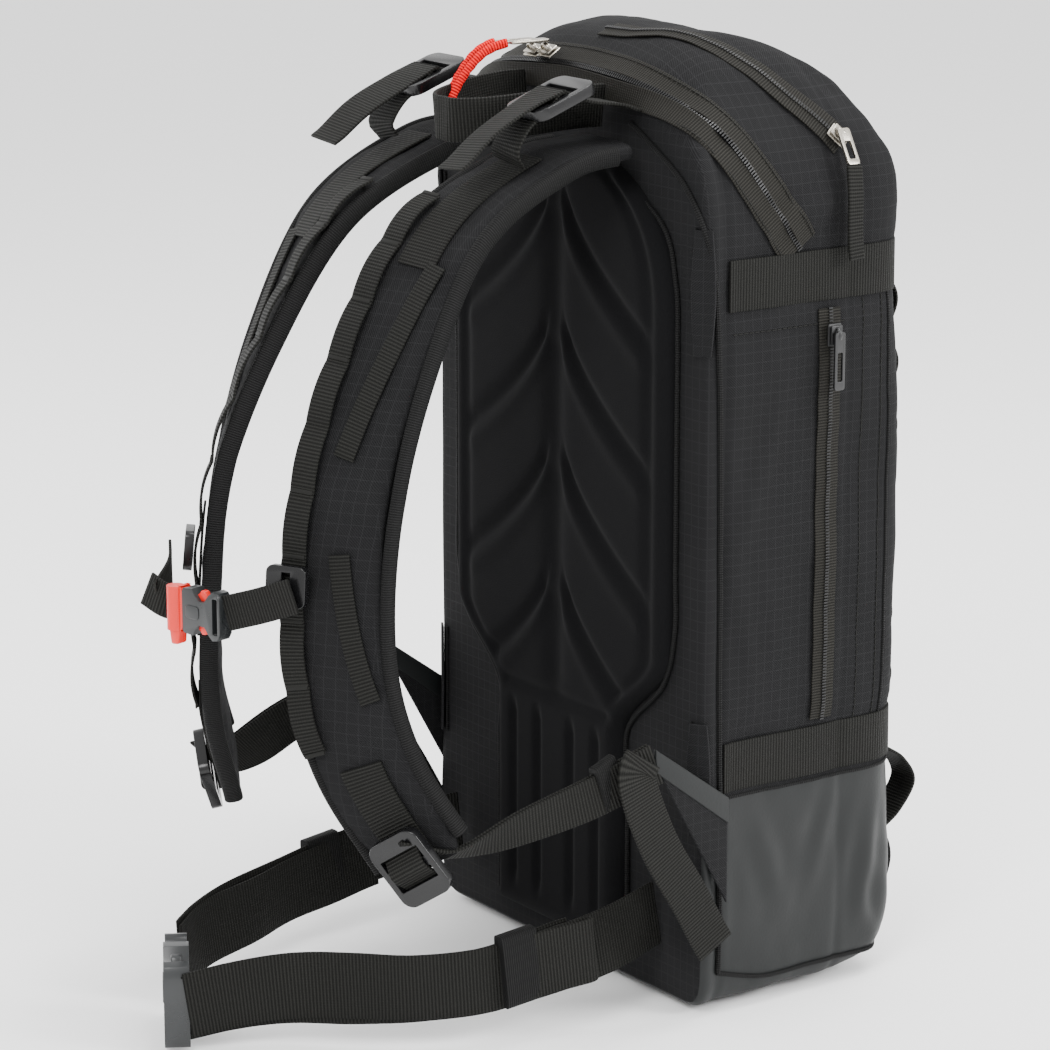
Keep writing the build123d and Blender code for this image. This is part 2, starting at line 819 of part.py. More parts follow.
def make_plug(plane, length, height, thick, tongue, tongue_height, tongue_thick):
    """Plug half: a webbing bar and a middle tongue that enters the socket."""
    with BuildPart() as plug:
        with BuildSketch(plane):
            RectangleRounded(length, height, height * 0.14)
            with Locations((length * 0.14, 0)):
                Rectangle(length * 0.3, height * 0.76, mode=Mode.SUBTRACT)
        extrude(amount=thick / 2, both=True)
        with BuildSketch(plane):
            with Locations((-length / 2 - tongue / 2 + 0.5, 0)):
                Rectangle(tongue + 1, tongue_height)
        extrude(amount=tongue_thick / 2, both=True)
    return plug.part


def make_prong(plane, length, offset_y, reach, width, thick):
    """One sprung prong of a plug, beside its tongue."""
    with BuildPart() as prong:
        with BuildSketch(plane):
            with Locations((-length / 2 - reach / 2 - 0.4, offset_y)):
                Rectangle(reach, width)
        extrude(amount=thick / 2, both=True)
    return prong.part


sternum_half = 17.0
sternum_buckle_height = 27.0
sternum_buckle_thick = 9.0
socket_plane = buckle_plane(socket_centre, sternum_dir, sternum_face)
socket_length = sternum_half * 2 - 6
sternum_socket = make_socket(socket_plane, socket_length, sternum_buckle_height, sternum_buckle_thick, 19, 5.4)
save(sternum_socket, "sternum_socket")
plug_length = 18.0
plug_centre = socket_centre + sternum_dir * ((sternum_half * 2 - 6) / 2 + plug_length / 2 + 0.6)
plug_plane = buckle_plane(plug_centre, sternum_dir, sternum_face)
plug_height = sternum_buckle_height - 1
sternum_plug = make_plug(plug_plane, plug_length, plug_height, sternum_buckle_thick - 1, 15, 5, 4)
save(sternum_plug, "sternum_plug")
for prong_name, prong_side in (("upper", 1), ("lower", -1)):
    prong_y = prong_side * 6.0 * (1 if plug_plane.y_dir.Z > 0 else -1)
    sternum_prong = make_prong(plug_plane, plug_length, prong_y, 14, 4, 4)
    save(sternum_prong, f"sternum_prong_{prong_name}")

clip_left = clip_frame.origin + clip_out * (clip_body[2] / 2 + webbing_thick / 2 + 5.5)
webbing_end_gap = 4.6
socket_end = socket_centre - sternum_dir * (sternum_half - 3 + webbing_end_gap)
plug_end = plug_centre + sternum_dir * (plug_length / 2 + webbing_end_gap)
clip_right = Vector(-clip_left.X, clip_left.Y, clip_left.Z)


def upright(share):
    """Webbing that stands on edge all the way."""
    return (0.0, 0.0, 1.0)


mid_left = (clip_left + socket_end) * 0.5 + Vector(0, -2, -3)
sternum_webbing_left = ribbon(
    [tuple(clip_left), tuple(mid_left), tuple(socket_end)], upright, sternum_width - 1, webbing_thick, 7
)
save(sternum_webbing_left, "sternum_webbing_left")
mid_right = (clip_right + plug_end) * 0.5 + Vector(-9, 0, -3)
sternum_webbing_right = ribbon(
    [tuple(plug_end), tuple(mid_right), tuple(clip_right)], upright, sternum_width - 1, webbing_thick, 7
)
save(sternum_webbing_right, "sternum_webbing_right")

# ---- hip belt -----------------------------------------------------------------------------------
tilt = math.radians(belt_tilt_deg)
belt_plane = Plane(
    origin=(0, belt_root_y, belt_root_z),
    x_dir=(1, 0, 0),
    z_dir=(0, -math.sin(tilt), math.cos(tilt)),
)
buckle_turn = math.radians(buckle_turn_deg)
buckle_centre = (-25.0, -238.0)
buckle_dir = (math.cos(buckle_turn), math.sin(buckle_turn))


def along_buckle(distance):
    """A point in the belt's plane, this far from the buckle's middle towards its near end."""
    return (buckle_centre[0] + buckle_dir[0] * distance, buckle_centre[1] + buckle_dir[1] * distance)


near_points = [(97, 0), (101, -56), (96, -114), (66, -160), (30, -205), along_buckle(buckle_half + 3)]
far_points = [(-97, 0), (-101, -56), (-97, -114), (-82, -165), (-70, -200), along_buckle(-buckle_half - 3)]
with BuildPart() as belt_webbing_left:
    add(bent_strip(belt_plane, near_points, 18, belt_thick, belt_width))
save(belt_webbing_left.part, "belt_webbing_left")
with BuildPart() as belt_webbing_right:
    add(bent_strip(belt_plane, far_points, 12, belt_thick, belt_width))
save(belt_webbing_right.part, "belt_webbing_right")

keeper_y = -114.0
keeper_width = 14.0
with BuildPart() as belt_keeper:
    with BuildSketch(belt_plane.offset(-belt_width / 2 - 2.2)):
        with Locations((98.5, keeper_y + 18)):
            Rectangle(belt_thick + 6.5, keeper_width, rotation=-5)
    extrude(amount=belt_width + 4.4)
    with BuildSketch(belt_plane.offset(-belt_width / 2 - 0.9)):
        with Locations((98.5, keeper_y + 18)):
            Rectangle(belt_thick + 3.9, keeper_width * 2, rotation=-5)
    extrude(amount=belt_width + 1.8, mode=Mode.SUBTRACT)
save_pair(belt_keeper.part, "belt_keeper")

buckle_origin = belt_plane.from_local_coords(buckle_centre + (0,))
buckle_along = (belt_plane.from_local_coords(along_buckle(1) + (0,)) - buckle_origin).normalized()
buckle_up = belt_plane.z_dir
buckle_face = buckle_along.cross(buckle_up).normalized()
socket_length = buckle_half + 4
belt_socket_centre = buckle_origin + buckle_along * (buckle_half - socket_length / 2)
belt_socket_plane = buckle_plane(belt_socket_centre, -buckle_along, buckle_face)
belt_socket = make_socket(belt_socket_plane, socket_length, buckle_height, buckle_thick, 38, 8.6)
save(belt_socket, "belt_socket")
belt_plug_length = buckle_half * 2 - socket_length - 0.8
belt_plug_centre = buckle_origin - buckle_along * (buckle_half - belt_plug_length / 2)
belt_plug_plane = buckle_plane(belt_plug_centre, -buckle_along, buckle_face)
belt_plug = make_plug(belt_plug_plane, belt_plug_length, buckle_height - 2, buckle_thick - 2, 24, 9, 7)
save(belt_plug, "belt_plug")
for prong_name, prong_side in (("upper", 1), ("lower", -1)):
    prong_y = prong_side * 13.0 * (1 if belt_plug_plane.y_dir.Z > 0 else -1)
    belt_prong = make_prong(belt_plug_plane, belt_plug_length, prong_y, 24, 7, 7)
    save(belt_prong, f"belt_prong_{prong_name}")
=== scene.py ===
import math

import bpy
import numpy as np
from mathutils import Matrix, Vector, noise


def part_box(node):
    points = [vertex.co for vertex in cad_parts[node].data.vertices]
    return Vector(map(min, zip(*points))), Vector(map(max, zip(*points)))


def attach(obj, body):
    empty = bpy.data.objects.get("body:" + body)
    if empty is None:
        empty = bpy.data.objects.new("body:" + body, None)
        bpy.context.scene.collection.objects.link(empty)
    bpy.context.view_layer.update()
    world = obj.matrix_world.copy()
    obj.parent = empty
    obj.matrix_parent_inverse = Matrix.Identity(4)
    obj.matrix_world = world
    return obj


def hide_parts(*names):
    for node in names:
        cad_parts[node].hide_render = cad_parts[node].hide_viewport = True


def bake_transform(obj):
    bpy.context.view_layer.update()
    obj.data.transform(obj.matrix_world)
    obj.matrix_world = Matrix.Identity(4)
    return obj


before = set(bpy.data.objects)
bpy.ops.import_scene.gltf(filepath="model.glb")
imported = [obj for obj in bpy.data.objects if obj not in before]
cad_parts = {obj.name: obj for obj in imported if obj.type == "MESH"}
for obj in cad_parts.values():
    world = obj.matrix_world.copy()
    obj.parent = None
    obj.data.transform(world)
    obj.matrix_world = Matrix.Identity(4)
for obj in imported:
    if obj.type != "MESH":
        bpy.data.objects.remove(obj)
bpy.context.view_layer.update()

bl_info = {
    "name": "Airbag backpack",
    "version": (1, 0, 0),
    "blender": (4, 5, 0),
    "location": "3D view > Sidebar > Backpack",
    "description": "Builds the cloth, webbing, zips and buckles of an avalanche airbag backpack",
    "category": "Object",
}

MM = 0.001


def linear(code):
    """An sRGB hex colour as linear red, green and blue."""
    parts = [int(code[k : k + 2], 16) / 255 for k in (1, 3, 5)]
    return tuple(c / 12.92 if c <= 0.04045 else ((c + 0.055) / 1.055) ** 2.4 for c in parts)


def corners(node):
    """Lowest and highest corner of a CAD node in millimetres."""
    low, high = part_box(node)
    return np.array(low) / MM, np.array(high) / MM


# ---- the bag's own sizes, from the frame --------------------------------------------------------
BOOT_LOW, BOOT_HIGH = corners("base_boot")
LID_LOW, LID_HIGH = corners("lid_shell")
HALF = BOOT_HIGH[0]
BACK = BOOT_LOW[1]
FRONT = BOOT_HIGH[1]
BOOT_TOP = BOOT_HIGH[2]
TOP = LID_HIGH[2]
FOLD = LID_LOW[2] - 1.0
CROWN = 110.0
FRONT_CORNER = 36.0
SIDE_FOOT = 20.0
FRONT_FOOT = 54.0
EDGE_SOFTNESS = 2.6
ZIP_Y = -16.0
ZIP_SLOPE = math.radians(56.5)
ARCH_RADIUS = 220.0
ARCH_CENTRE = -108.0
BAND_LOW, BAND_HIGH = corners("compression_bands")
BAND_WIDTH = 28.0
UPPER_BAND = BAND_HIGH[2] - BAND_WIDTH / 2
LOWER_BAND = BAND_LOW[2] + BAND_WIDTH / 2
BACK_SEAM = BACK + 14.0
FRONT_SEAM = FRONT - FRONT_CORNER
BACK_FACE = BACK + 1.5
ZIP_NORMAL = np.array([0, math.sin(ZIP_SLOPE), math.cos(ZIP_SLOPE)])
ZIP_UP = np.array([0, -math.cos(ZIP_SLOPE), math.sin(ZIP_SLOPE)])


# ---- settings -----------------------------------------------------------------------------------
def shade(name, text, code):
    """A colour property with its default."""
    return bpy.props.FloatVectorProperty(
        name=name, description=text, default=linear(code), size=3, subtype="COLOR", min=0, max=1
    )


class PackColours(bpy.types.PropertyGroup):
    """Colours of the pack's cloths, webbings and fittings."""

    ripstop: shade("Ripstop", "Colour of the ripstop nylon", "#181819")
    coated: shade("Coated cloth", "Colour of the coated boot cloth", "#121414")
    foam: shade("Foam", "Colour of the knit face of the back pad", "#101011")
    webbing: shade("Webbing", "Colour of the nylon webbing", "#131311")
    tape: shade("Zip tape", "Colour of the zip tape", "#181714")
    binding: shade("Binding", "Colour of the stretch binding", "#0f0f0f")
    cord: shade("Cord", "Colour of the braided cord pulls", "#c00008")
    red: shade("Red plastic", "Colour of the chest buckle's plug", "#d21400")
    grey: shade("Grey plastic", "Colour of the grey buckles", "#1d1f20")
    black: shade("Black plastic", "Colour of the black fittings", "#0d0d0e")
    metal: shade("Zip metal", "Colour of the antique silver sliders", "#a39e94")


class PackSizes(bpy.types.PropertyGroup):
    """Sizes of the pack's cloth details."""

    ripstop_pitch: bpy.props.FloatProperty(
        name="Ripstop pitch", description="Spacing of the ripstop threads", default=0.0058, unit="LENGTH"
    )
    rib_pitch: bpy.props.FloatProperty(
        name="Webbing rib", description="Spacing of the webbing's cross ribs", default=0.0019, unit="LENGTH"
    )
    wrinkle: bpy.props.FloatProperty(
        name="Wrinkle", description="Height of the bag's soft wrinkles", default=0.0022, unit="LENGTH"
    )


# ---- materials ----------------------------------------------------------------------------------
SOCKETS = {"ior": "IOR", "specular_ior_level": "Specular IOR Level"}
# Real twill lines are 0.3 mm apart; they are drawn 1.4 mm apart so that the weave shows.
TWILL_PITCH = 0.0014


def add_node(tree, kind, inputs=None, links=None, **settings):
    """A shader node with its settings, its input values and its links."""
    node = tree.nodes.new(kind)
    for key, value in settings.items():
        setattr(node, key, value)
    for key, value in (inputs or {}).items():
        node.inputs[key].default_value = value
    for key, source in (links or {}).items():
        tree.links.new(source, node.inputs[key])
    return node


def start_material(name, **shader):
    """A new material's tree and its principled shader, set to these values."""
    made = bpy.data.materials.new(name)
    made.use_nodes = True
    principled = made.node_tree.nodes["Principled BSDF"]
    for key, value in shader.items():
        principled.inputs[SOCKETS.get(key, key.replace("_", " ").title())].default_value = value
    return made.node_tree, principled


def stripes(tree, period, way, distortion, detail=2.0):
    """Stripes this far apart in metres, one way over the cloth's UV map."""
    place = add_node(tree, "ShaderNodeTexCoord")
    waves = 10 if way == "DIAGONAL" else 20
    settings = {"Scale": 2 * math.pi / (waves * period), "Distortion": distortion, "Detail": detail}
    wave = add_node(tree, "ShaderNodeTexWave", settings, {"Vector": place.outputs["UV"]}, bands_direction=way)
    return wave.outputs["Fac"]


def mottle(tree, scale, detail):
    """Noise through the piece's own space."""
    place = add_node(tree, "ShaderNodeTexCoord")
    settings = {"Scale": scale, "Detail": detail}
    return add_node(tree, "ShaderNodeTexNoise", settings, {"Vector": place.outputs["Object"]}).outputs[0]


def two_shades(tree, colour, dark, light, fac):
    """A mix of a darker and a lighter shade of one colour."""
    low, high = (tuple(min(1, c * share) for c in colour) + (1,) for share in (dark, light))
    return add_node(tree, "ShaderNodeMix", {6: low, 7: high}, {0: fac}, data_type="RGBA").outputs[2]


def finish(tree, principled, colour, gloss, height, strength, depth):
    """Links a colour, a roughness and a bump to the shader."""
    bump = add_node(tree, "ShaderNodeBump", {"Strength": strength, "Distance": depth}, {"Height": height})
    sources = {"Base Color": colour, "Roughness": gloss.outputs[0], "Normal": bump.outputs[0]}
    for socket, source in sources.items():
        tree.links.new(source, principled.inputs[socket])


def finish_cloth(tree, principled, colour, dark, fac, height, depth, rough=(0.75, 0.95)):
    """Links a cloth's colour, roughness and bump to its pattern: the colour is painted lighter on the raised
    threads as a painted highlight and darker in the grooves as painted shade, then varied by a random worn
    tone.
    """
    worn = add_node(tree, "ShaderNodeMapRange", {3: 0.82, 4: 1.2}, {0: mottle(tree, 14.0, 4.0)})
    # The lighter shade on the raised threads is a painted highlight and the darker shade in the grooves is
    # painted shade.
    shades = {0: two_shades(tree, colour, dark, 2.1 - dark, fac), 1: worn.outputs[0]}
    weave_light_and_wear = add_node(tree, "ShaderNodeVectorMath", links=shades, operation="MULTIPLY")
    gloss = add_node(tree, "ShaderNodeMapRange", {3: rough[1], 4: rough[0]}, {0: fac})
    finish(tree, principled, weave_light_and_wear.outputs[0], gloss, height, 0.9, depth)


def ripstop_nylon(name, colour, pitch):
    """Woven ripstop nylon: a fine twill with a grid of doubled threads that catch the light."""
    tree, principled = start_material(name, ior=1.53, specular_ior_level=0.12)
    place = add_node(tree, "ShaderNodeTexCoord")
    twill = stripes(tree, TWILL_PITCH, "DIAGONAL", 0.6, 1.0)
    squares = {"Scale": 1.0, "Mortar Size": pitch * 0.07, "Mortar Smooth": 0.4, "Brick Width": pitch,
               "Row Height": pitch}
    grid = add_node(tree, "ShaderNodeTexBrick", squares, {"Vector": place.outputs["UV"]}, offset=0.0,
                    squash=1.0)
    thread = add_node(tree, "ShaderNodeMath", {1: 0.35}, {0: grid.outputs["Fac"]}, operation="MULTIPLY")
    sources = {0: twill, 2: thread.outputs[0]}
    both = add_node(tree, "ShaderNodeMath", {1: 0.5}, sources, operation="MULTIPLY_ADD")
    # The grid threads and twill ridges are painted lighter as a painted highlight, and the grooves darker as
    # painted shade.
    finish_cloth(tree, principled, colour, 0.62, both.outputs[0], both.outputs[0], 0.0005)


def ribbed_webbing(name, colour, pitch, depth=0.0005):
    """Woven nylon webbing or tape: straight ribs across it with a tight edge."""
    tree, principled = start_material(name, ior=1.53, specular_ior_level=0.12)
    ribs = stripes(tree, pitch, "Y", 0.3, 1.0)
    ends = stripes(tree, pitch * 0.8, "X", 0.2)
    both = add_node(tree, "ShaderNodeMath", {1: 0.35}, {0: ends, 2: ribs}, operation="MULTIPLY_ADD")
    # Each rib is painted lighter on top as a painted highlight and darker in its groove as painted shade.
    finish_cloth(tree, principled, colour, 0.5, ribs, both.outputs[0], depth, (0.6, 0.85))


def grained(name, colour, grain, depth, rough, **shader):
    """A coated, moulded or knit surface whose fine grain breaks up its gloss."""
    tree, principled = start_material(name, **shader)
    broad = mottle(tree, 22.0, 5.0)
    gloss = add_node(tree, "ShaderNodeMapRange", {1: 0.3, 2: 0.7, 3: rough[0], 4: rough[1]}, {0: broad})
    shades = two_shades(tree, colour, 0.8, 1.2, broad)
    finish(tree, principled, shades, gloss, mottle(tree, 1 / grain, 6.0), 0.6, depth)


def pack_materials():
    """Makes every material of the pack once."""
    tone = bpy.context.scene.pack_colours
    size = bpy.context.scene.pack_sizes
    ripstop_nylon("ripstop_nylon", tone.ripstop, size.ripstop_pitch)
    ribbed_webbing("nylon_webbing", tone.webbing, size.rib_pitch)
    ribbed_webbing("zip_tape_polyester", tone.tape, 0.0016, 0.0003)
    ribbed_webbing("stretch_binding", tone.binding, 0.0013, 0.0004)
    ribbed_webbing("braided_cord", tone.cord, 0.0016, 0.0004)
    # Polyurethane-coated polyester is smooth and half-matt, with a faint leather-like grain.
    grained("coated_polyester", tone.coated, 0.0016, 0.0002, (0.42, 0.6), ior=1.5, specular_ior_level=0.25)
    # Moulded EVA foam under brushed polyester knit gives almost no shine.
    grained("knit_faced_eva", tone.foam, 0.0009, 0.0004, (0.85, 0.97), ior=1.45, specular_ior_level=0.04,
            sheen_weight=0.02, sheen_roughness=0.5)
    # Acetal comes glossy from its mould.
    grained("black_acetal", tone.black, 0.0009, 0.00005, (0.2, 0.3), ior=1.48, specular_ior_level=0.35)
    grained("grey_acetal", tone.grey, 0.0009, 0.00005, (0.24, 0.36), ior=1.48)
    grained("red_acetal", tone.red, 0.0009, 0.00005, (0.26, 0.38), ior=1.48)
    # Zinc die castings are plated and stained to an antique silver.
    grained("antique_zinc", tone.metal, 0.0007, 0.0001, (0.25, 0.45), metallic=1.0)
    # The side zip's slider is powder-coated black to match its tape.
    grained("black_zinc", tone.black, 0.0007, 0.0001, (0.35, 0.5), ior=1.5)
    grained("zip_coil_nylon", tone.black, 0.001, 0.0001, (0.35, 0.5), ior=1.53, specular_ior_level=0.3)
    grained("sewing_thread", tone.webbing, 0.0006, 0.0001, (0.6, 0.75), ior=1.53, specular_ior_level=0.15)
    grained("hdpe_sheet", linear("#d9d8d2"), 0.002, 0.0001, (0.4, 0.55), ior=1.53)
    grained("anodised_aluminium", linear("#b7b9bd"), 0.0006, 0.00005, (0.25, 0.4), metallic=1.0)
    ripstop_nylon("airbag_nylon", linear("#c8541a"), 0.005)


# ---- mesh tools ---------------------------------------------------------------------------------
WELD = (bpy.ops.mesh.remove_doubles, {"threshold": 1e-6})
OUTWARDS = (bpy.ops.mesh.normals_make_consistent, {"inside": False})


def pick(*objs):
    """Selects only these objects and makes the first one active."""
    bpy.ops.object.select_all(action="DESELECT")
    for obj in objs:
        obj.select_set(True)
    bpy.context.view_layer.objects.active = objs[0]


def modify(obj, kind, **settings):
    """Adds a modifier with these settings and applies it."""
    pick(obj)
    modifier = obj.modifiers.new(kind.title(), kind)
    for key, value in settings.items():
        setattr(modifier, key, value)
    bpy.ops.object.modifier_apply(modifier=modifier.name)


def edit(obj, *steps):
    """Runs edit-mode operators on the whole mesh, each given as (operator, settings)."""
    pick(obj)
    bpy.ops.object.mode_set(mode="EDIT")
    bpy.ops.mesh.select_all(action="SELECT")
    for operator, settings in steps:
        operator(**settings)
    bpy.ops.object.mode_set(mode="OBJECT")


def linked(name, data):
    """An object of this data, in the scene."""
    obj = bpy.data.objects.new(name, data)
    bpy.context.collection.objects.link(obj)
    return obj


def places_of(rows, key="co", width=3):
    """One value of every vertex, face or loop as rows of numbers."""
    flat = np.zeros(len(rows) * width, float if width == 3 else int)
    rows.foreach_get(key, flat)
    return flat.reshape(-1, width) if width > 1 else flat


def move_to(mesh, places):
    """Puts the mesh's vertices at these places in mm."""
    mesh.vertices.foreach_set("co", (places * MM).astype(np.float32).ravel())
    mesh.update()


def metres(place):
    """A place in mm as a tuple in metres."""
    return tuple(np.array(place) * MM)


def own(obj, name, body, material, nodes=(), angle=40):
    """Names a finished piece, gives it its material, and puts it on its body.

    A body given as two bodies and two places is cloth that crosses the joint between them; the two bodies and
    places are not used, and such a piece is put on no body, with its transform baked into its mesh.
    """
    obj.name = name
    obj.data.name = name
    obj.data.materials.clear()
    obj.data.materials.append(bpy.data.materials[material])
    pick(obj)
    bpy.ops.object.shade_smooth_by_angle(angle=math.radians(angle))
    if isinstance(body, str):
        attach(obj, body)
    else:
        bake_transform(obj)
    if nodes:
        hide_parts(*nodes)


def smooth_line(points, step):
    """A smooth line through points, sampled every step mm, and the length up to each sample."""
    given = np.array(points, float)
    ends = np.vstack([2 * given[0] - given[1], given, 2 * given[-1] - given[-2]])
    share = np.linspace(0, 1, 32, endpoint=False)[:, None]
    spans = []
    for a, b, c, d in zip(ends, ends[1:], ends[2:], ends[3:]):
        spans.append(0.5 * (2 * b + (c - a) * share + (2 * a - 5 * b + 4 * c - d) * share**2
                            + (3 * b - a - 3 * c + d) * share**3))
    line = np.vstack([*spans, given[-1:]])
    run = np.concatenate([[0], np.cumsum(np.linalg.norm(np.diff(line[:, :3], axis=0), axis=1))])
    count = max(3, int(run[-1] / step) + 1)
    at = np.linspace(0, run[-1], count)
    return np.column_stack([np.interp(at, run, column) for column in line.T]), at


def unit(vectors):
    """Vectors of length one."""
    return vectors / np.maximum(np.linalg.norm(vectors, axis=-1, keepdims=True), 1e-9)


def frames(line, across):
    """Tangents, directions across and normals along a line."""
    along = unit(np.gradient(line, axis=0))
    side = unit(across - along * np.sum(across * along, axis=1, keepdims=True))
    return along, side, np.cross(along, side)


def lay_grid(places, u, v, closed=False):
    """A mesh whose vertices lie at places[i, j] in mm, with u and v in mm as its UV map in metres."""
    rows, columns = places.shape[:2]
    bpy.ops.object.select_all(action="DESELECT")
    bpy.ops.mesh.primitive_grid_add(x_subdivisions=rows - 1, y_subdivisions=columns - 1, size=1)
    obj = bpy.context.object
    mesh = obj.data
    plain = places_of(mesh.vertices) + 0.5
    i = np.rint(plain[:, 0] * (rows - 1)).astype(int)
    j = np.rint(plain[:, 1] * (columns - 1)).astype(int)
    move_to(mesh, places[i, j])
    uv = np.stack([np.broadcast_to(u, (rows, columns)), np.broadcast_to(v, (rows, columns))], axis=-1) * MM
    loops = places_of(mesh.loops, "vertex_index", 1)
    mesh.uv_layers[0].data.foreach_set("uv", uv[i, j][loops].astype(np.float32).ravel())
    if closed:
        edit(obj, WELD, (bpy.ops.mesh.fill_holes, {"sides": 0}), OUTWARDS)
    return obj


def laid(points, step, seat):
    """Places along a smooth line, its length so far, and its directions along, across and out."""
    line, at = smooth_line(points, step)
    place, across = seat(line[:, :3]) if seat else (line[:, :3], line[:, 3:6])
    return place, at, *frames(place, across)


def strip(points, width, thick, step=2.5, rows=6, relief=None, bevel=0.35, width_at=None, seat=None):
    """Flat webbing along points, each given as place and direction across; relief lifts it off that line."""
    place, at, _, side, normal = laid(points, step, seat)
    spread = np.linspace(-0.5, 0.5, rows + 1)
    share = at / at[-1]
    wide = width * (width_at(share) if width_at else np.ones(len(at)))
    places = place[:, None] + side[:, None] * (spread[None, :, None] * wide[:, None, None])
    if relief:
        lift = np.broadcast_to(relief(share[:, None], spread[None, :], at[:, None]), places.shape[:2])
        places = places + normal[:, None] * lift[..., None]
    obj = lay_grid(places, spread * width, at[:, None])
    modify(obj, "SOLIDIFY", thickness=thick * MM, offset=0)
    round_edges(obj, thick * bevel, 2, 60)
    return obj


def round_edges(obj, width, segments, angle):
    """Bevels the edges sharper than an angle in degrees, width in mm."""
    modify(obj, "BEVEL", width=width * MM, segments=segments, limit_method="ANGLE",
           angle_limit=math.radians(angle))


def round_section(half_wide, half_thick, count, power=1.0):
    """Points round a section that is between an ellipse and a rectangle."""
    turn = np.linspace(0, 2 * math.pi, count + 1)
    halves = ((np.cos(turn), half_wide), (np.sin(turn), half_thick))
    return np.stack([np.sign(c) * np.abs(c) ** power * half for c, half in halves], axis=-1)


def tube(points, half_wide, half_thick, step=3.0, count=12, power=1.0, shift=(0, 0), swell=None, seat=None):
    """A closed roll along points: a piping, cord or padded strap."""
    place, at, _, side, normal = laid(points, step, seat)
    ring = round_section(half_wide, half_thick, count, power)
    scale = swell(at / at[-1])[:, None] if swell else np.ones((len(at), 1))
    offset = ring[None] * scale[..., None] + np.array(shift)[None, None]
    places = place[:, None] + side[:, None] * offset[..., :1] + normal[:, None] * offset[..., 1:]
    turn = np.linspace(0, 2 * math.pi * half_thick, count + 1)
    return lay_grid(places, turn, at[:, None], closed=True)


def mirrored(points, side):
    """The same line for the wearer's right side where side is -1."""
    if side > 0:
        return points
    return [(-p[0], p[1], p[2]) + ((p[3], -p[4], -p[5]) if len(p) > 3 else ()) for p in points]


def both_sides(points, *sizes, make=strip, **settings):
    """A strip or tube on each side of the pack."""
    return [make(mirrored(points, side), *sizes, **settings) for side in (1, -1)]


def hem(height, reach):
    """Relief of the folded end of a webbing."""
    return lambda share, spread, run: height * bump_at(share, 1, reach)


def daisy(height, loops, power):
    """Relief of a webbing that stands off in this many loops between its bar tacks."""
    return lambda share, spread, run: height * np.abs(np.sin(share * math.pi * loops)) ** power


def ridge(height, across=0):
    """Relief of a tape that stands up along one line."""
    return lambda share, spread, run: height * bump_at(spread, across, 0.12)


def joined(objs):
    """One object of several."""
    pick(*objs)
    if len(objs) > 1:
        bpy.ops.object.join()
    return bpy.context.object


def placed(obj, origin, axes, size=(1, 1, 1)):
    """Scales an object's mesh by size, turns it to axes and moves it to origin in mm."""
    turn = Matrix(np.array(axes).T.tolist()).to_4x4()
    obj.data.transform(Matrix.Translation(Vector(metres(origin))) @ turn @ Matrix.Diagonal((*size, 1)))


def block(centre, size, axes=np.eye(3), bevel=0.4):
    """A small moulded block at a place in mm, its edges rounded."""
    bpy.ops.object.select_all(action="DESELECT")
    bpy.ops.mesh.primitive_cube_add(size=1)
    obj = bpy.context.object
    placed(obj, centre, axes, metres(size))
    if np.linalg.det(np.array(axes)) < 0:
        obj.data.flip_normals()
    if bevel:
        round_edges(obj, bevel, 2, 30)
    return obj


def frame_plate(outline, holes, thick, origin, axes, bevel=0.8):
    """A moulded plate in its own plane with rounded holes, from outline points and hole outlines in mm."""
    curve = bpy.data.curves.new("plate", "CURVE")
    curve.dimensions = "2D"
    curve.fill_mode = "BOTH"
    curve.extrude = thick / 2 * MM
    for ring in [outline, *holes]:
        spline = curve.splines.new("POLY")
        spline.points.add(len(ring) - 1)
        for point, (x, y) in zip(spline.points, ring):
            point.co = (x * MM, y * MM, 0, 1)
        spline.use_cyclic_u = True
    pick(linked("plate", curve))
    bpy.ops.object.convert(target="MESH")
    obj = bpy.context.object
    placed(obj, origin, axes)
    edit(obj, WELD, (bpy.ops.mesh.dissolve_limited, {"angle_limit": 0.01}), OUTWARDS)
    round_edges(obj, bevel, 3, 50)
    return obj


def rounded(width, height, radius, centre=(0, 0), count=5):
    """Outline of a rectangle with rounded corners."""
    points = []
    for k, (sx, sy) in enumerate(((1, 1), (-1, 1), (-1, -1), (1, -1))):
        for turn in np.linspace(0, math.pi / 2, count) + k * math.pi / 2:
            points.append((centre[0] + sx * (width / 2 - radius) + radius * math.cos(turn),
                           centre[1] + sy * (height / 2 - radius) + radius * math.sin(turn)))
    return points


def cad_copy(node, bevel, segments):
    """The CAD node's own shape with rounded edges."""
    obj = linked(node + "_copy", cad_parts[node].data.copy())
    edit(obj, (bpy.ops.mesh.remove_doubles, {"threshold": 1e-5}),
         (bpy.ops.mesh.dissolve_limited, {"angle_limit": 0.02}))
    round_edges(obj, bevel, segments, 35)
    return obj


# ---- the bag's skin -----------------------------------------------------------------------------
def corner(first, second, radius):
    """How far each point is outside a rounded corner between two walls."""
    return np.hypot(np.maximum(first + radius, 0), np.maximum(second + radius, 0)) - radius


def bag_depth(p):
    """How far each point is outside the bag, negative inside, with softened edges."""
    x, y, z = np.abs(p[:, 0]), p[:, 1], p[:, 2]
    climb = (y - ZIP_Y) * ZIP_UP[1] + (z - FOLD) * ZIP_UP[2]
    walls = [
        x - HALF,
        BACK - y,
        y - FRONT,
        -z,
        corner(x - HALF, z - TOP, CROWN),
        corner(x - HALF, y - FRONT, FRONT_CORNER),
        np.hypot(x, np.maximum(climb - ARCH_CENTRE, 0)) - ARCH_RADIUS,
        corner(x - HALF, -z, SIDE_FOOT),
        corner(y - FRONT, -z, FRONT_FOOT),
    ]
    for (y0, z0), (y1, z1) in TOP_LINE:
        length = math.hypot(y1 - y0, z1 - z0)
        walls.append(((z - z0) * (y1 - y0) - (y - y0) * (z1 - z0)) / length)
    stack = np.array(walls)
    most = stack.max(axis=0)
    return most + EDGE_SOFTNESS * np.log(np.exp((stack - most) / EDGE_SOFTNESS).sum(axis=0))


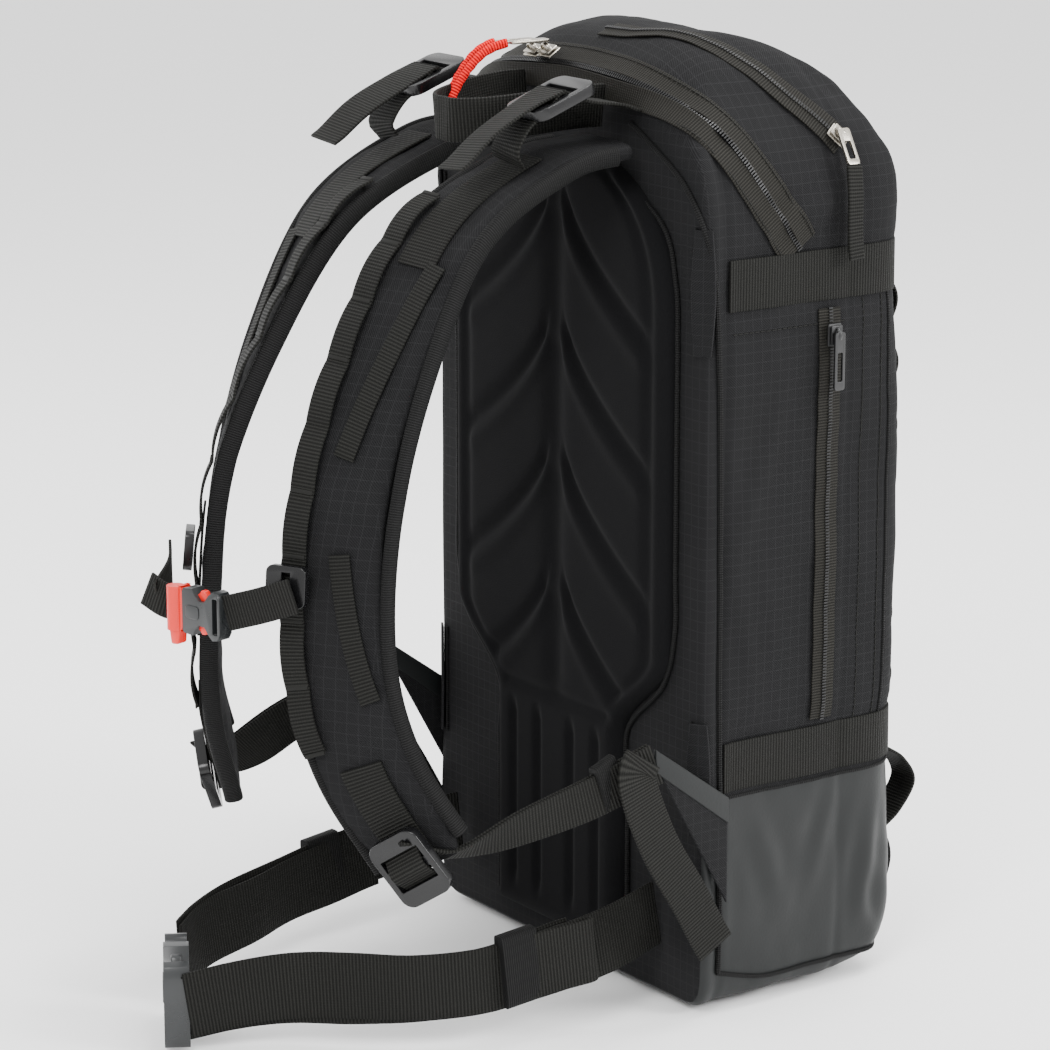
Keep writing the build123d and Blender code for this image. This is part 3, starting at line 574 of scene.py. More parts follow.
TOP_POINTS = [(BACK, TOP - 23), (BACK + 23, TOP - 3), (BACK + 58, TOP), (FRONT - 45, TOP - 11),
              (FRONT - 18, TOP - 47), (FRONT, FOLD)]
TOP_LINE = list(zip(TOP_POINTS, TOP_POINTS[1:]))


def bag_normal(p):
    """Outward direction of the bag's skin."""
    steps = np.eye(3) * 0.5
    return unit(np.stack([bag_depth(p + s) - bag_depth(p - s) for s in steps], axis=-1))


def bump_at(value, centre, reach):
    """A soft hump of height 1."""
    return np.exp(-(((value - centre) / reach) ** 2))


CREASES = [
    # place, direction along the crease, length, width, height
    ((130, -40, 300), (0, 0.35, 1), 90, 7, 1.6),
    ((130, -48, 215), (0, -0.2, 1), 70, 6, 1.2),
    ((130, 10, 95), (0, 0.3, 1), 55, 6, 2.0),
    ((130, -30, 85), (0, -0.35, 1), 50, 7, 1.8),
    ((128, 40, 70), (0, 0.15, 1), 60, 6, 2.2),
    ((128, 50, 40), (0, -0.5, 1), 36, 6, -2.0),
    ((120, -62, 62), (0, 0.1, 1), 60, 6, 1.6),
    ((128, 0, 445), (0, 0.8, 0.7), 60, 7, 1.8),
    ((124, -20, 440), (0, 1, 0.25), 50, 6, 1.6),
    ((90, 45, 488), (0.3, 0.4, -1), 60, 8, 2.4),
    ((112, 44, 450), (0, 0.2, 1), 55, 6, -2.2),
    ((60, 35, 508), (1, 0.2, -0.4), 80, 9, 2.0),
    ((70, -55, 505), (1, 0.3, -0.5), 60, 8, 1.4),
]


def bag_relief(p, n):
    """How far the cloth stands off the plain skin: full between its bands, pinched under them, wrinkled."""
    y, z = p[:, 1], p[:, 2]
    wide = np.abs(n[:, 0])
    ahead = np.clip(n[:, 1], 0, 1)
    between = bump_at(z, (UPPER_BAND + LOWER_BAND) / 2, 95)
    lifted = 1.6 * wide * between * bump_at(y, -5, 60) + 2.0 * ahead * between
    grip = np.clip((y - BACK_SEAM) / 8, 0, 1)
    for band in (UPPER_BAND, LOWER_BAND):
        lifted -= grip * 2.4 * bump_at(z, band, 17)
    lifted -= 1.3 * wide * bump_at(y, BACK_SEAM, 3.5)
    lifted += 1.4 * wide * bump_at(y, BACK_SEAM - 9, 6)
    lifted -= 0.8 * wide * bump_at(y, FRONT_SEAM - 14, 3)
    lifted += 2.0 * bump_at(z, 58, 40) * (wide + ahead)
    lifted -= 1.5 * bump_at(z, 6, 8) * (wide + ahead)
    soft = bpy.context.scene.pack_sizes.wrinkle / MM
    rough = np.array([noise.fractal(Vector(q) * 0.011, 0.9, 2.1, 4) for q in p])
    upright = np.array([noise.noise(Vector((q[0] * 0.03, q[1] * 0.03 + 7, q[2] * 0.008))) for q in p])
    lifted += soft * (rough + 0.7 * upright) * np.clip((y - BACK - 2) / 20, 0.15, 1)
    for centre, way, length, width, height in CREASES:
        away = p - np.array(centre)
        way = unit(np.array(way, float))
        run = away @ way
        off = np.linalg.norm(away - run[:, None] * way, axis=1)
        fold = bump_at(off, 0, width) - 0.5 * bump_at(off, width * 1.6, width)
        lifted += height * bump_at(run, 0, length / 2) * fold
    return lifted


def on_skin(p):
    """The nearest place on the bag's skin going out from its middle."""
    middle_y = np.full(len(p), (BACK + FRONT) / 2)
    core = np.column_stack([np.zeros(len(p)), middle_y, np.clip(p[:, 2], CROWN, TOP - CROWN)])
    way = unit(p - core)
    near, far = np.zeros(len(p)), np.full(len(p), 400.0)
    for _ in range(30):
        middle = (near + far) / 2
        outside = bag_depth(core + way * middle[:, None]) > 0
        far = np.where(outside, middle, far)
        near = np.where(outside, near, middle)
    return core + way * near[:, None]


def cloth_place(p, lift):
    """Places on the wrinkled cloth, lift mm above it, and their outward directions."""
    seat = on_skin(p)
    n = bag_normal(seat)
    return seat + n * (bag_relief(seat, n) + lift)[:, None], n


def seated(lift):
    """A seat for strip and tube that lays them on the bag's cloth."""
    def seat(place):
        put, out = cloth_place(place, np.full(len(place), lift))
        along = unit(np.gradient(put, axis=0))
        return put, np.cross(out, along)
    return seat


def box_uv(obj):
    """A UV map in metres, seen square to each face's main direction."""
    mesh = obj.data
    if not mesh.uv_layers:
        mesh.uv_layers.new(name="UVMap")
    normals = places_of(mesh.polygons, "normal") * (1, 1, 0.8)
    main = np.repeat(np.abs(normals).argmax(axis=1), places_of(mesh.polygons, "loop_total", 1))
    at = places_of(mesh.vertices)[places_of(mesh.loops, "vertex_index", 1)]
    pairs = np.array([(1, 2), (0, 2), (0, 1)])[main]
    uv = np.take_along_axis(at, pairs, axis=1)
    mesh.uv_layers[0].data.foreach_set("uv", uv.astype(np.float32).ravel())


def above_zip(p):
    """True where a point belongs to the lid."""
    return (p[:, 2] > FOLD) & ((p[:, 1] - ZIP_Y) * ZIP_NORMAL[1] + (p[:, 2] - FOLD) * ZIP_NORMAL[2] > 0)


def under_lid(p):
    """True where a point belongs to a panel between the boot and the lid."""
    return (p[:, 2] >= BOOT_TOP) & ~above_zip(p)


def at_side(p):
    """True where a point belongs to a side panel."""
    return (p[:, 1] >= BACK_SEAM) & (p[:, 1] <= FRONT_SEAM) & under_lid(p)


PANELS = {
    "lid_cloth": ("lid", "lid_shell", "ripstop_nylon", above_zip),
    "boot_cloth": ("pack", "base_boot", "coated_polyester",
                   lambda p: (p[:, 2] < BOOT_TOP) & (p[:, 1] > BACK_FACE)),
    "back_cloth": ("pack", "back_panel", "ripstop_nylon",
                   lambda p: (p[:, 1] < BACK_SEAM) & under_lid(p) | (p[:, 1] <= BACK_FACE) & ~above_zip(p)),
    "front_cloth": ("pack", "front_panel", "ripstop_nylon", lambda p: (p[:, 1] > FRONT_SEAM) & under_lid(p)),
    "side_cloth_left": ("pack", "side_panel_left", "ripstop_nylon", lambda p: (p[:, 0] > 0) & at_side(p)),
    "side_cloth_right": ("pack", "side_panel_right", "ripstop_nylon", lambda p: (p[:, 0] <= 0) & at_side(p)),
}


class PACK_OT_bag_shell(bpy.types.Operator):
    """Shapes the bag's skin from a cube and cuts it into its six panels"""

    bl_idname = "pack.bag_shell"
    bl_label = "Bag shell"

    def execute(self, context):
        bpy.ops.object.select_all(action="DESELECT")
        bpy.ops.mesh.primitive_cube_add(size=1)
        skin = context.object
        cuts = 96
        edit(skin, (bpy.ops.mesh.subdivide, {"number_cuts": cuts}))
        spread = places_of(skin.data.vertices) * (HALF * 2.1, (FRONT - BACK) * 1.05, TOP * 1.02)
        spread += (0, (FRONT + BACK) / 2, TOP / 2)
        put, _ = cloth_place(spread, np.zeros(len(spread)))
        move_to(skin.data, put)
        level, ahead = (0, 0, 1), (0, 1, 0)
        planes = [((0, 0, BOOT_TOP), level), ((0, BACK_SEAM, 0), ahead), ((0, FRONT_SEAM, 0), ahead),
                  ((0, 0, FOLD), level), ((0, ZIP_Y, FOLD), tuple(ZIP_NORMAL)), ((0, BACK_FACE, 0), ahead)]
        for place, out in planes:
            edit(skin, (bpy.ops.mesh.bisect, {"plane_co": metres(place), "plane_no": out}))
        box_uv(skin)
        for name, (body, node, material, keeps) in PANELS.items():
            panel = linked(name, skin.data.copy())
            kept = keeps(places_of(panel.data.polygons, "center") / MM)
            edit(panel, (bpy.ops.mesh.select_all, {"action": "DESELECT"}))
            panel.data.polygons.foreach_set("select", ~kept)
            pick(panel)
            bpy.ops.object.mode_set(mode="EDIT")
            bpy.ops.mesh.delete(type="FACE")
            bpy.ops.object.mode_set(mode="OBJECT")
            modify(panel, "SOLIDIFY", thickness=1.6 * MM, offset=-1)
            own(panel, name, body, material, [node], angle=60)
        bpy.data.objects.remove(skin)
        return {"FINISHED"}


# Distance from stitch to stitch, and the width, length and thickness of one.
STITCHES = (3.6, (0.5, 2.6, 0.5))


class PACK_OT_seams(bpy.types.Operator):
    """Lays piping over the bag's seams"""

    bl_idname = "pack.seams"
    bl_label = "Seams and piping"

    def execute(self, context):
        back_seam = [(60, -78, 489), (76, -78, 481), (111, -78, 459), (129, -76, 424), (131, -72, 360),
                     (131, -70, 294), (131, -67, 140), (130, -66, 21)]
        front_seam = [(124, FRONT_SEAM + 14, z) for z in np.linspace(LOWER_BAND, UPPER_BAND, 9)]
        half_foot = [(130, -66), (130, -30), (130, 20), (126, 52), (108, 68), (60, 71)]
        foot = half_foot + [(0, 71)] + [(-x, y) for x, y in reversed(half_foot)]
        rolls = both_sides(back_seam, 1.6, 1.6, make=tube, count=8, seat=seated(1.0))
        rolls += both_sides(front_seam, 0.9, 0.9, make=tube, count=8, seat=seated(0.2))
        sole = [(x, y, 21 if y == foot[0][1] else 12) for x, y in foot]
        rolls.append(tube(sole, 1.3, 1.3, count=8, seat=seated(0.3)))
        cuff = [(x, y, BOOT_TOP - 1) for x, y in foot]
        rolls.append(tube(cuff, 1.0, 1.0, count=8, seat=seated(0.2)))
        own(joined(rolls), "bag_piping", "pack", "stretch_binding")
        tabs, lips = [], []
        for side in (1, -1):
            for height, half in ((UPPER_BAND - 2, 34), (LOWER_BAND - 4, 32)):
                line = [(126 * side, BACK, height + share * half) for share in np.linspace(-1, 1, 7)]
                tabs.append(strip(line, 12, 1.4, step=2, seat=seated(1.1), bevel=0.3,
                                  width_at=lambda share: 0.82 + 0.36 * np.sin(share * math.pi)))
                edge = [(119 * side, BACK, height + share * half) for share in np.linspace(-1, 1, 7)]
                lips.append(tube(edge, 1.0, 1.0, count=8, seat=seated(0.7)))
        own(joined(tabs), "slit_tabs", "pack", "ripstop_nylon")
        own(joined(lips), "slit_bindings", "pack", "stretch_binding")
        rows = []
        for y in (FRONT_SEAM - 4, FRONT_SEAM + 10):
            line = [(HALF, y, z) for z in np.linspace(LOWER_BAND + 16, UPPER_BAND - 16, 9)]
            rows += both_sides(line, *STITCHES, make=teeth, seat=seated(0.3))
        yoke = [(HALF, y, UPPER_BAND - 26) for y in np.linspace(BACK_SEAM + 4, FRONT_SEAM - 20, 6)]
        rows += both_sides(yoke, *STITCHES, make=teeth, seat=seated(0.3))
        own(joined(rows), "panel_stitching", "pack", "sewing_thread")
        return {"FINISHED"}


# ---- back pad -----------------------------------------------------------------------------------
FOAM_LOW, FOAM_HIGH = corners("foam_back_pad")
FOAM_THICK = FOAM_HIGH[1] - FOAM_LOW[1]


def foam_half_width(z):
    """Half width of the back pad: narrow in the small of the back, full above it, round at its top."""
    rise = np.clip((z - 150) / 50, 0, 1)
    half = 60 + (FOAM_HIGH[0] - 60) * rise**2 * (3 - 2 * rise)
    crown = np.clip((z - (FOAM_HIGH[2] - 84)) / 84, 0, 1)
    return half * np.sqrt(np.maximum(1 - 0.78 * crown**2.6, 0.02))


def foam_relief(x, z, half):
    """Height of the moulded pads, 1 on a pad and 0 in a groove."""
    wide = np.abs(x)
    height = 1 - 0.75 * bump_at(wide, 0, 9) * np.clip((z - 150) / 20, 0, 1)
    for start in (452, 379, 306, 233):
        fall = start - 86 * np.clip((wide - 6) / 92, 0, 1) ** 0.62
        inside = np.clip((half * 0.86 - wide) / 8, 0, 1)
        groove = bump_at(z - fall, 0, 6.5) * np.clip((wide - 6) / 6, 0, 1) * inside
        lip = 0.28 * bump_at(z - fall, -13, 7) * inside
        height = height - 0.8 * groove + lip
    rim = half - wide
    height -= 0.55 * bump_at(rim, 15, 5) * np.clip((z - 160) / 30, 0, 1)
    lumbar = np.clip((150 - z) / 12, 0, 1) * np.clip((z - 30) / 12, 0, 1)
    for line in (16, 40):
        height -= 0.7 * bump_at(wide, line, 3.4) * lumbar
    height -= 0.7 * bump_at(z, 156, 4) * np.clip((56 - wide) / 8, 0, 1)
    return height


class PACK_OT_back_pad(bpy.types.Operator):
    """Moulds the foam back pad with its spine channel and leaf-shaped ribs"""

    bl_idname = "pack.back_pad"
    bl_label = "Back pad"

    def execute(self, context):
        step = 1.7
        rows = int((FOAM_HIGH[2] - FOAM_LOW[2]) / step)
        columns = int(FOAM_HIGH[0] * 2 / step)
        z = np.linspace(FOAM_LOW[2], FOAM_HIGH[2], rows)[:, None] + np.zeros((1, columns))
        share = np.linspace(-1, 1, columns)[None, :]
        half = foam_half_width(z)
        x = share * half
        height = foam_relief(x, z, half)
        edge = np.minimum(np.minimum(half - np.abs(x), z - FOAM_LOW[2]), FOAM_HIGH[2] - z)
        fall = np.clip(edge / 11, 0, 1)
        fall = np.sqrt(1 - (1 - fall) ** 2)
        out = BACK + 1.0 - fall * (FOAM_THICK - 3.5 + 4.0 * height)
        places = np.stack([x, out, z], axis=-1)
        pad = lay_grid(places[:, ::-1], x[:, ::-1], z[:, ::-1])
        modify(pad, "SOLIDIFY", thickness=1.2 * MM, offset=-1)
        own(pad, "back_pad", "pack", "knit_faced_eva", ["foam_back_pad"], angle=80)
        heights = np.linspace(FOAM_LOW[2] + 6, FOAM_HIGH[2] - 26, 14)
        edge = [(float(foam_half_width(np.array(h)) + 2.5), h) for h in heights]
        edge += [(30, FOAM_HIGH[2] + 1), (0, FOAM_HIGH[2] + 2)]
        rings = both_sides([(x, BACK - 1.6, h, 0, -1, 0) for x, h in edge], 1.4, 1.4, make=tube, count=8)
        own(joined(rings), "back_pad_piping", "pack", "stretch_binding")
        return {"FINISHED"}


# ---- compression bands --------------------------------------------------------------------------
def ring_points(z, back):
    """A line round the front of the bag at one height, from its left back seam to its right."""
    left = [(HALF, back), (HALF, -30), (HALF, 10), (HALF - 3, 45), (HALF - 20, 64), (HALF - 60, 71)]
    return [(x, y, z) for x, y in left + [(0, 71)] + [(-x, y) for x, y in reversed(left)]]


class PACK_OT_bands(bpy.types.Operator):
    """Runs the two compression bands round the bag, with their adjusters"""

    bl_idname = "pack.bands"
    bl_label = "Compression bands"

    def execute(self, context):
        slack = lambda share, spread, run: 0.4 * np.sin(run / 13) * spread
        bands = [strip(ring_points(height, BACK_SEAM), BAND_WIDTH, 1.6, seat=seated(1.6), relief=slack)
                 for height in (UPPER_BAND, LOWER_BAND)]
        own(joined(bands), "compression_bands_cloth", "pack", "nylon_webbing", ["compression_bands"])
        locks = []
        for x in (-84, 84):
            for height in (UPPER_BAND, LOWER_BAND):
                axes = [(1, 0, 0), (0, 0, 1), (0, -1, 0)]
                holes = [rounded(3.5, BAND_WIDTH - 2, 1.2, (way, 0)) for way in (-5.2, 5.2)]
                locks.append(frame_plate(rounded(24, 34, 4), holes, 4.5, (x, FRONT + 4.6, height), axes))
        own(joined(locks), "band_triglides", "pack", "black_acetal", ["band_locks"])
        return {"FINISHED"}


# ---- zips ---------------------------------------------------------------------------------------
TAPE_THICK = 0.9
COIL_PITCH = 1.7


def zip_path():
    """Points along the main zip from the wearer's left to the right."""
    left = [(130, -16, 424), (128, -32, 447), (121, -48, 472), (105, -64, 496), (60, -75, 511), (0, -78, 518)]
    return left + [(-x, y, z) for x, y, z in reversed(left[:-1])]


def teeth(points, pitch, size, seat):
    """A coil's teeth or a row of stitches: small blocks set along a line."""
    place, _, along, side, normal = laid(points, pitch, seat)
    tooth = block((0, 0, 0), size, bevel=0)
    source = places_of(tooth.data.vertices) / MM
    faces = [tuple(f.vertices) for f in tooth.data.polygons]
    bpy.data.objects.remove(tooth)
    spots, polygons = [], []
    for k, turn in enumerate(np.stack([side, along, normal], axis=1)):
        polygons += [tuple(v + k * len(source) for v in f) for f in faces]
        spots.append(source @ turn + place[k])
    mesh = bpy.data.meshes.new("teeth")
    mesh.from_pydata((np.vstack(spots) * MM).tolist(), [], polygons)
    obj = linked("teeth", mesh)
    edit(obj, OUTWARDS)
    return obj


def shifted(points, amount):
    """Zip points moved along the zip plane's normal."""
    return [tuple(np.array(p) + ZIP_NORMAL * amount) for p in points]


class PACK_OT_zips(bpy.types.Operator):
    """Sews the main, pocket and side zips with their tapes and coils"""

    bl_idname = "pack.zips"
    bl_label = "Zips"

    def execute(self, context):
        path = zip_path()
        for name, side, body, node in (("main_zip_tape_cloth", -1, "pack", "main_zip_tape"),
                                       ("lid_zip_tape_cloth", 1, "lid", "lid_zip_tape")):
            tape = strip(shifted(path, side * 7.2), 12.6, TAPE_THICK, seat=seated(1.0), rows=8,
                         relief=ridge(0.5, 0.5 * side))
            own(tape, name, body, "zip_tape_polyester", [node])
            coil = teeth(shifted(path, side * 0.8), COIL_PITCH, (1.6, 0.9, 1.7), seated(1.4))
            own(coil, name.replace("tape_cloth", "coil"), body, "zip_coil_nylon")
            seam = teeth(shifted(path, side * 11.5), 3.4, (0.6, 2.4, 0.5), seated(1.6))
            own(seam, name.replace("tape_cloth", "stitching"), body, "sewing_thread")
        pocket = [(118, 20, 476), (110, 9, 490), (98, -4, 503), (80, -15, 514), (50, -30, 525), (20, -46, 529),
                  (0, -50, 530)]
        tape_low, tape_high = corners("side_zip_tape")
        middle = (tape_low[1] + tape_high[1]) / 2
        upright = [(HALF, middle, z) for z in np.linspace(tape_low[2], tape_high[2], 7)]
        closed_zips = (("pocket_zip_tape", "pocket_zip_coil", pocket, 17, "lid", []),
                       ("side_zip_tape_cloth", "side_zip_coil", upright, 15, "pack", ["side_zip_tape"]))
        for tape_name, coil_name, line, width, body, nodes in closed_zips:
            tape = strip(line, width, TAPE_THICK, seat=seated(0.8), rows=8, relief=ridge(0.8))
            own(tape, tape_name, body, "zip_tape_polyester", nodes)
            own(teeth(line, COIL_PITCH, (2.6, 0.9, 1.2), seated(1.9)), coil_name, body, "zip_coil_nylon")
        return {"FINISHED"}


def slider_cast(name, node, out, along, finish="antique_zinc"):
    """A die-cast slider with its bridge, where its CAD node lies."""
    low, high = corners(node)
    centre = (low + high) / 2
    out, along = unit(np.array(out, float)), unit(np.array(along, float))
    across = np.cross(out, along)
    axes = [across, along, out]
    parts = [block(centre - out * 1.2, (9, 12, 1.2), axes, 0.5),
             block(centre + out * 0.8, (7.6, 10.5, 1.2), axes, 0.5)]
    arch = ((-4, 1), (-3, 3.4), (0, 4.4), (3, 3.4), (4, 1))
    bridge = [(*(centre + along * run + out * rise), *across) for run, rise in arch]
    parts.append(tube(bridge, 1.2, 0.6, step=1, count=8))
    own(joined(parts), name, node, finish, [node])


def tab_plate(name, node, axes, length, width, finish="antique_zinc"):
    """A puller tab with its slot, as its CAD node lies."""
    low, high = corners(node)
    slot = rounded(length * 0.5, width - 3.6, 0.9, (length * 0.1, 0))
    plate = frame_plate(rounded(length, width, 1.6), [slot], 1.6, (low + high) / 2, axes, 0.4)
    own(plate, name, node, finish, [node])


class PACK_OT_pullers(bpy.types.Operator):
    """Casts the zip sliders and their tabs, and hangs the pocket zip's webbing pull"""

    bl_idname = "pack.pullers"
    bl_label = "Sliders and pullers"

    def execute(self, context):
        for side in ("left", "right"):
            slider_cast(f"main_slider_cast_{side}", f"main_slider_{side}", ZIP_UP, (1, 0, 0))
            tab_plate(f"main_tab_{side}", f"main_puller_{side}", [(0, -1, 0), (1, 0, 0), (0, 0, 1)], 25, 7)
        slider_cast("pocket_slider_cast", "pocket_slider", (0.866025, 0, 0.5), (-0.4, -0.6, 0.6928))
        tab_plate("pocket_tab", "pocket_puller", [(0.5, 0, -0.866), (0, 1, 0), (0.866, 0, 0.5)], 21, 8)
        slider_cast("side_slider_cast", "side_slider", (1, 0, 0), (0, 0, 1), "black_zinc")
        tab_plate("side_tab", "side_puller", [(0, 0, -1), (0, 1, 0), (1, 0, 0)], 32, 7, "black_zinc")
        low, high = corners("pocket_pull")
        y = (low[1] + high[1]) / 2
        pull = [(low[0] + 1, y, high[2], 0, 1, 0), (high[0] - 1.2, y - 1, high[2] - 16, 0, 1, 0),
                (high[0] - 0.9, y - 1, high[2] - 34, 0, 1, 0), (high[0] - 1, y, low[2], 0, 1, 0)]
        webbing = strip(pull, 10, 2.2, relief=hem(0.5, 0.1))
        own(webbing, "pocket_pull_webbing", "pocket_puller", "nylon_webbing", ["pocket_pull"])
        return {"FINISHED"}


PULL_CORD_DIAMETER = 5.0
PULL_CORD_DROP = [(-1.5, 0), (-12, -2), (-24, -13), (-34, -27), (-40, -43)]
PULL_CORD_DRIFT = {"left": (0, -3, -5, -6, -5), "right": (0, 1, 2, 3, 4)}


class PACK_OT_pull_cords(bpy.types.Operator):
    """Hangs the braided cord pulls from the main zip's tabs"""

    bl_idname = "pack.pull_cords"
    bl_label = "Cord pulls"

    def execute(self, context):
        for side, drifts in PULL_CORD_DRIFT.items():
            low, high = corners(f"main_puller_{side}")
            start = ((low[0] + high[0]) / 2, low[1], (low[2] + high[2]) / 2)
            route = [(start[0] + drift, start[1] + out, start[2] + drop)
                     for drift, (out, drop) in zip(drifts, PULL_CORD_DROP)]
            curve = bpy.data.curves.new(f"cord_route_{side}", "CURVE")
            curve.dimensions = "3D"
            curve.resolution_u = 16
            spline = curve.splines.new("NURBS")
            spline.points.add(len(route) - 1)
            for point, place in zip(spline.points, route):
                point.co = (*[v * MM for v in place], 1)
            spline.order_u = 3
            spline.use_endpoint_u = True
            guide = linked(f"cord_route_{side}", curve)
            line = bpy.data.meshes.new_from_object(guide)
            path = [tuple(v.co / MM) for v in line.vertices]
            bpy.data.objects.remove(guide)
            radius = PULL_CORD_DIAMETER / 2
            cord = tube([(*p, 1, 0, 0) for p in path], radius, radius, step=0.6, count=24)
            self.braid(cord, path, radius)
            own(cord, f"pull_cord_braid_{side}", f"main_puller_{side}", "braided_cord", [f"pull_cord_{side}"],
                angle=60)
            end = np.array(path[-1])
            way = unit(end - np.array(path[-2]))
            knot = tube([(*(end + way * run), 1, 0, 0) for run in (-12, -5, 1.5)], radius * 1.22, radius * 1.22,
                        step=0.8, count=18, swell=lambda share: np.clip(np.sin(share * math.pi), 0, 1) ** 0.3)
            own(knot, f"pull_cord_knot_{side}", f"main_puller_{side}", "braided_cord", angle=60)
        return {"FINISHED"}

    def braid(self, cord, path, radius):
        """Raises the crossed strands of the braid on a plain roll."""
        line, run = smooth_line(path, 0.6)
        spots = places_of(cord.data.vertices) / MM
        near = np.array([np.argmin(((line - p) ** 2).sum(axis=1)) for p in spots])
        away = spots - line[near]
        turn = np.arctan2(away[:, 0], away[:, 2])
        phase = run[near] * 0.9
        lift = 0.16 * np.maximum(np.sin(4 * turn + phase), np.sin(4 * turn - phase))
        lift += radius * (0.16 * np.cos(2 * turn) - 0.16)
        move_to(cord.data, spots + unit(away) * lift[:, None])


# ---- shoulder straps ----------------------------------------------------------------------------
STRAP_POINTS = [(50, -90, 476), (51, -135, 470), (54, -196, 437), (58, -237, 372), (62, -263, 300),
                (66, -270, 225), (79, -262, 168), (101, -238, 114)]
STRAP_WIDTH = 62.0
STRAP_THICK = 13.0
STRAP_TURN = math.radians(32)
RAIL_WIDTH = 14.0
RAIL_LOOPS = 9


def strap_line(side):
    """The shoulder strap's middle line with its direction across."""
    plain, at = smooth_line(STRAP_POINTS, 4)
    turn = STRAP_TURN * np.minimum(1, at / at[-1] / 0.55)
    points = [(*p, math.cos(t), math.sin(t), 0.0) for p, t in zip(plain, turn)]
    return mirrored(points, side)


def strap_part(side, start, stop, shift=0.0, lift=0.0, drift=0.0):
    """A stretch of the strap's line moved across it and off its face."""
    line = np.array(strap_line(side))
    _, across, normal = frames(line[:, :3], line[:, 3:6])
    share = np.linspace(0, 1, len(line))
    kept = (share >= start) & (share <= stop)
    slide = (shift + drift * (share - start) / max(stop - start, 1e-6)) * side
    place = line[:, :3] + across * slide[:, None] + normal * lift
    return [(*p, *a) for p, a in zip(place[kept], across[kept])]


class PACK_OT_shoulder_straps(bpy.types.Operator):
    """Pads the shoulder straps and sews on their binding, rails and patches"""

    bl_idname = "pack.shoulder_straps"
    bl_label = "Shoulder straps"

    def execute(self, context):
        for side, word in ((1, "left"), (-1, "right")):
            pad = tube(strap_part(side, 0, 1), STRAP_WIDTH / 2 - 1.5, STRAP_THICK / 2 - 0.5, step=3.5, count=36,
                       power=0.55, swell=self.taper)
            self.wrinkle(pad)
            box_uv(pad)
            own(pad, f"shoulder_strap_pad_{word}", "harness", "ripstop_nylon", [f"shoulder_strap_{word}"],
                angle=60)
            edges = [tube(strap_part(side, 0.02, 0.99, shift=way * (STRAP_WIDTH / 2 - 2.6)), 3.4,
                          STRAP_THICK / 2 - 1.2, count=14, power=0.8) for way in (-1, 1)]
            own(joined(edges), f"strap_binding_{word}", "harness", "stretch_binding")
            face = STRAP_THICK / 2 + 0.4
            trims = [
                strip(strap_part(side, 0.28, 0.52, shift=14, lift=face, drift=-18), 12, 1.4),
                strip(strap_part(side, 0.62, 0.8, shift=2, lift=face, drift=16), 12, 1.4),
                strip(strap_part(side, 0.86, 1.0, lift=face + 0.6), 26, 1.8),
                strip(strap_part(side, 0.1, 0.3, lift=face), 25, 1.4),
            ]
            own(joined(trims), f"strap_trim_{word}", "harness", "nylon_webbing")
        rails, tacks = [], []
        for side in (1, -1):
            inner = -STRAP_WIDTH / 2 + RAIL_WIDTH / 2 + 1
            rail = strap_part(side, 0.2, 0.84, shift=inner, lift=STRAP_THICK / 2 + 0.8)
            rails.append(strip(rail, RAIL_WIDTH, 1.5, step=2, relief=daisy(2.4, RAIL_LOOPS, 0.8)))
            line = np.array(rail)
            along, across, normal = frames(line[:, :3], line[:, 3:6])
            for k in range(RAIL_LOOPS + 1):
                at = round(k / RAIL_LOOPS * (len(line) - 1))
                tacks.append(block(line[at, :3] + normal[at] * 1.0, (RAIL_WIDTH - 1.5, 2.4, 1.2),
                                   [across[at], along[at], normal[at]], 0.4))
        own(joined(rails), "strap_rail_webbing", "harness", "nylon_webbing", ["strap_rails"])
        own(joined(tacks), "strap_bar_tacks", "harness", "sewing_thread")
        return {"FINISHED"}

    def taper(self, share):
        """Width of the pad along the strap, narrower at its foot."""
        foot = 1 - 0.25 * np.clip(share - 0.94, 0, 1) / 0.06
        return np.clip(0.9 + 0.1 * np.sin(share * 9), 0, 1) * foot

    def wrinkle(self, pad):
        """Presses soft folds across the strap where it bends."""
        spots = places_of(pad.data.vertices) / MM
        normals = places_of(pad.data.vertices, "normal")
        folds = [noise.fractal(Vector((abs(x) * 0.02, y * 0.05, z * 0.05)), 0.9, 2, 3) for x, y, z in spots]
        move_to(pad.data, spots + normals * np.array(folds)[:, None] * 0.9)


# ---- adjusters, lifters and haul loop -----------------------------------------------------------
LOAD_WIDTH = 24.0
LOAD_THICK = 1.6
ADJUSTER_ACROSS = (0.768, 0.333, 0.547)
WING_TIP = -113.0


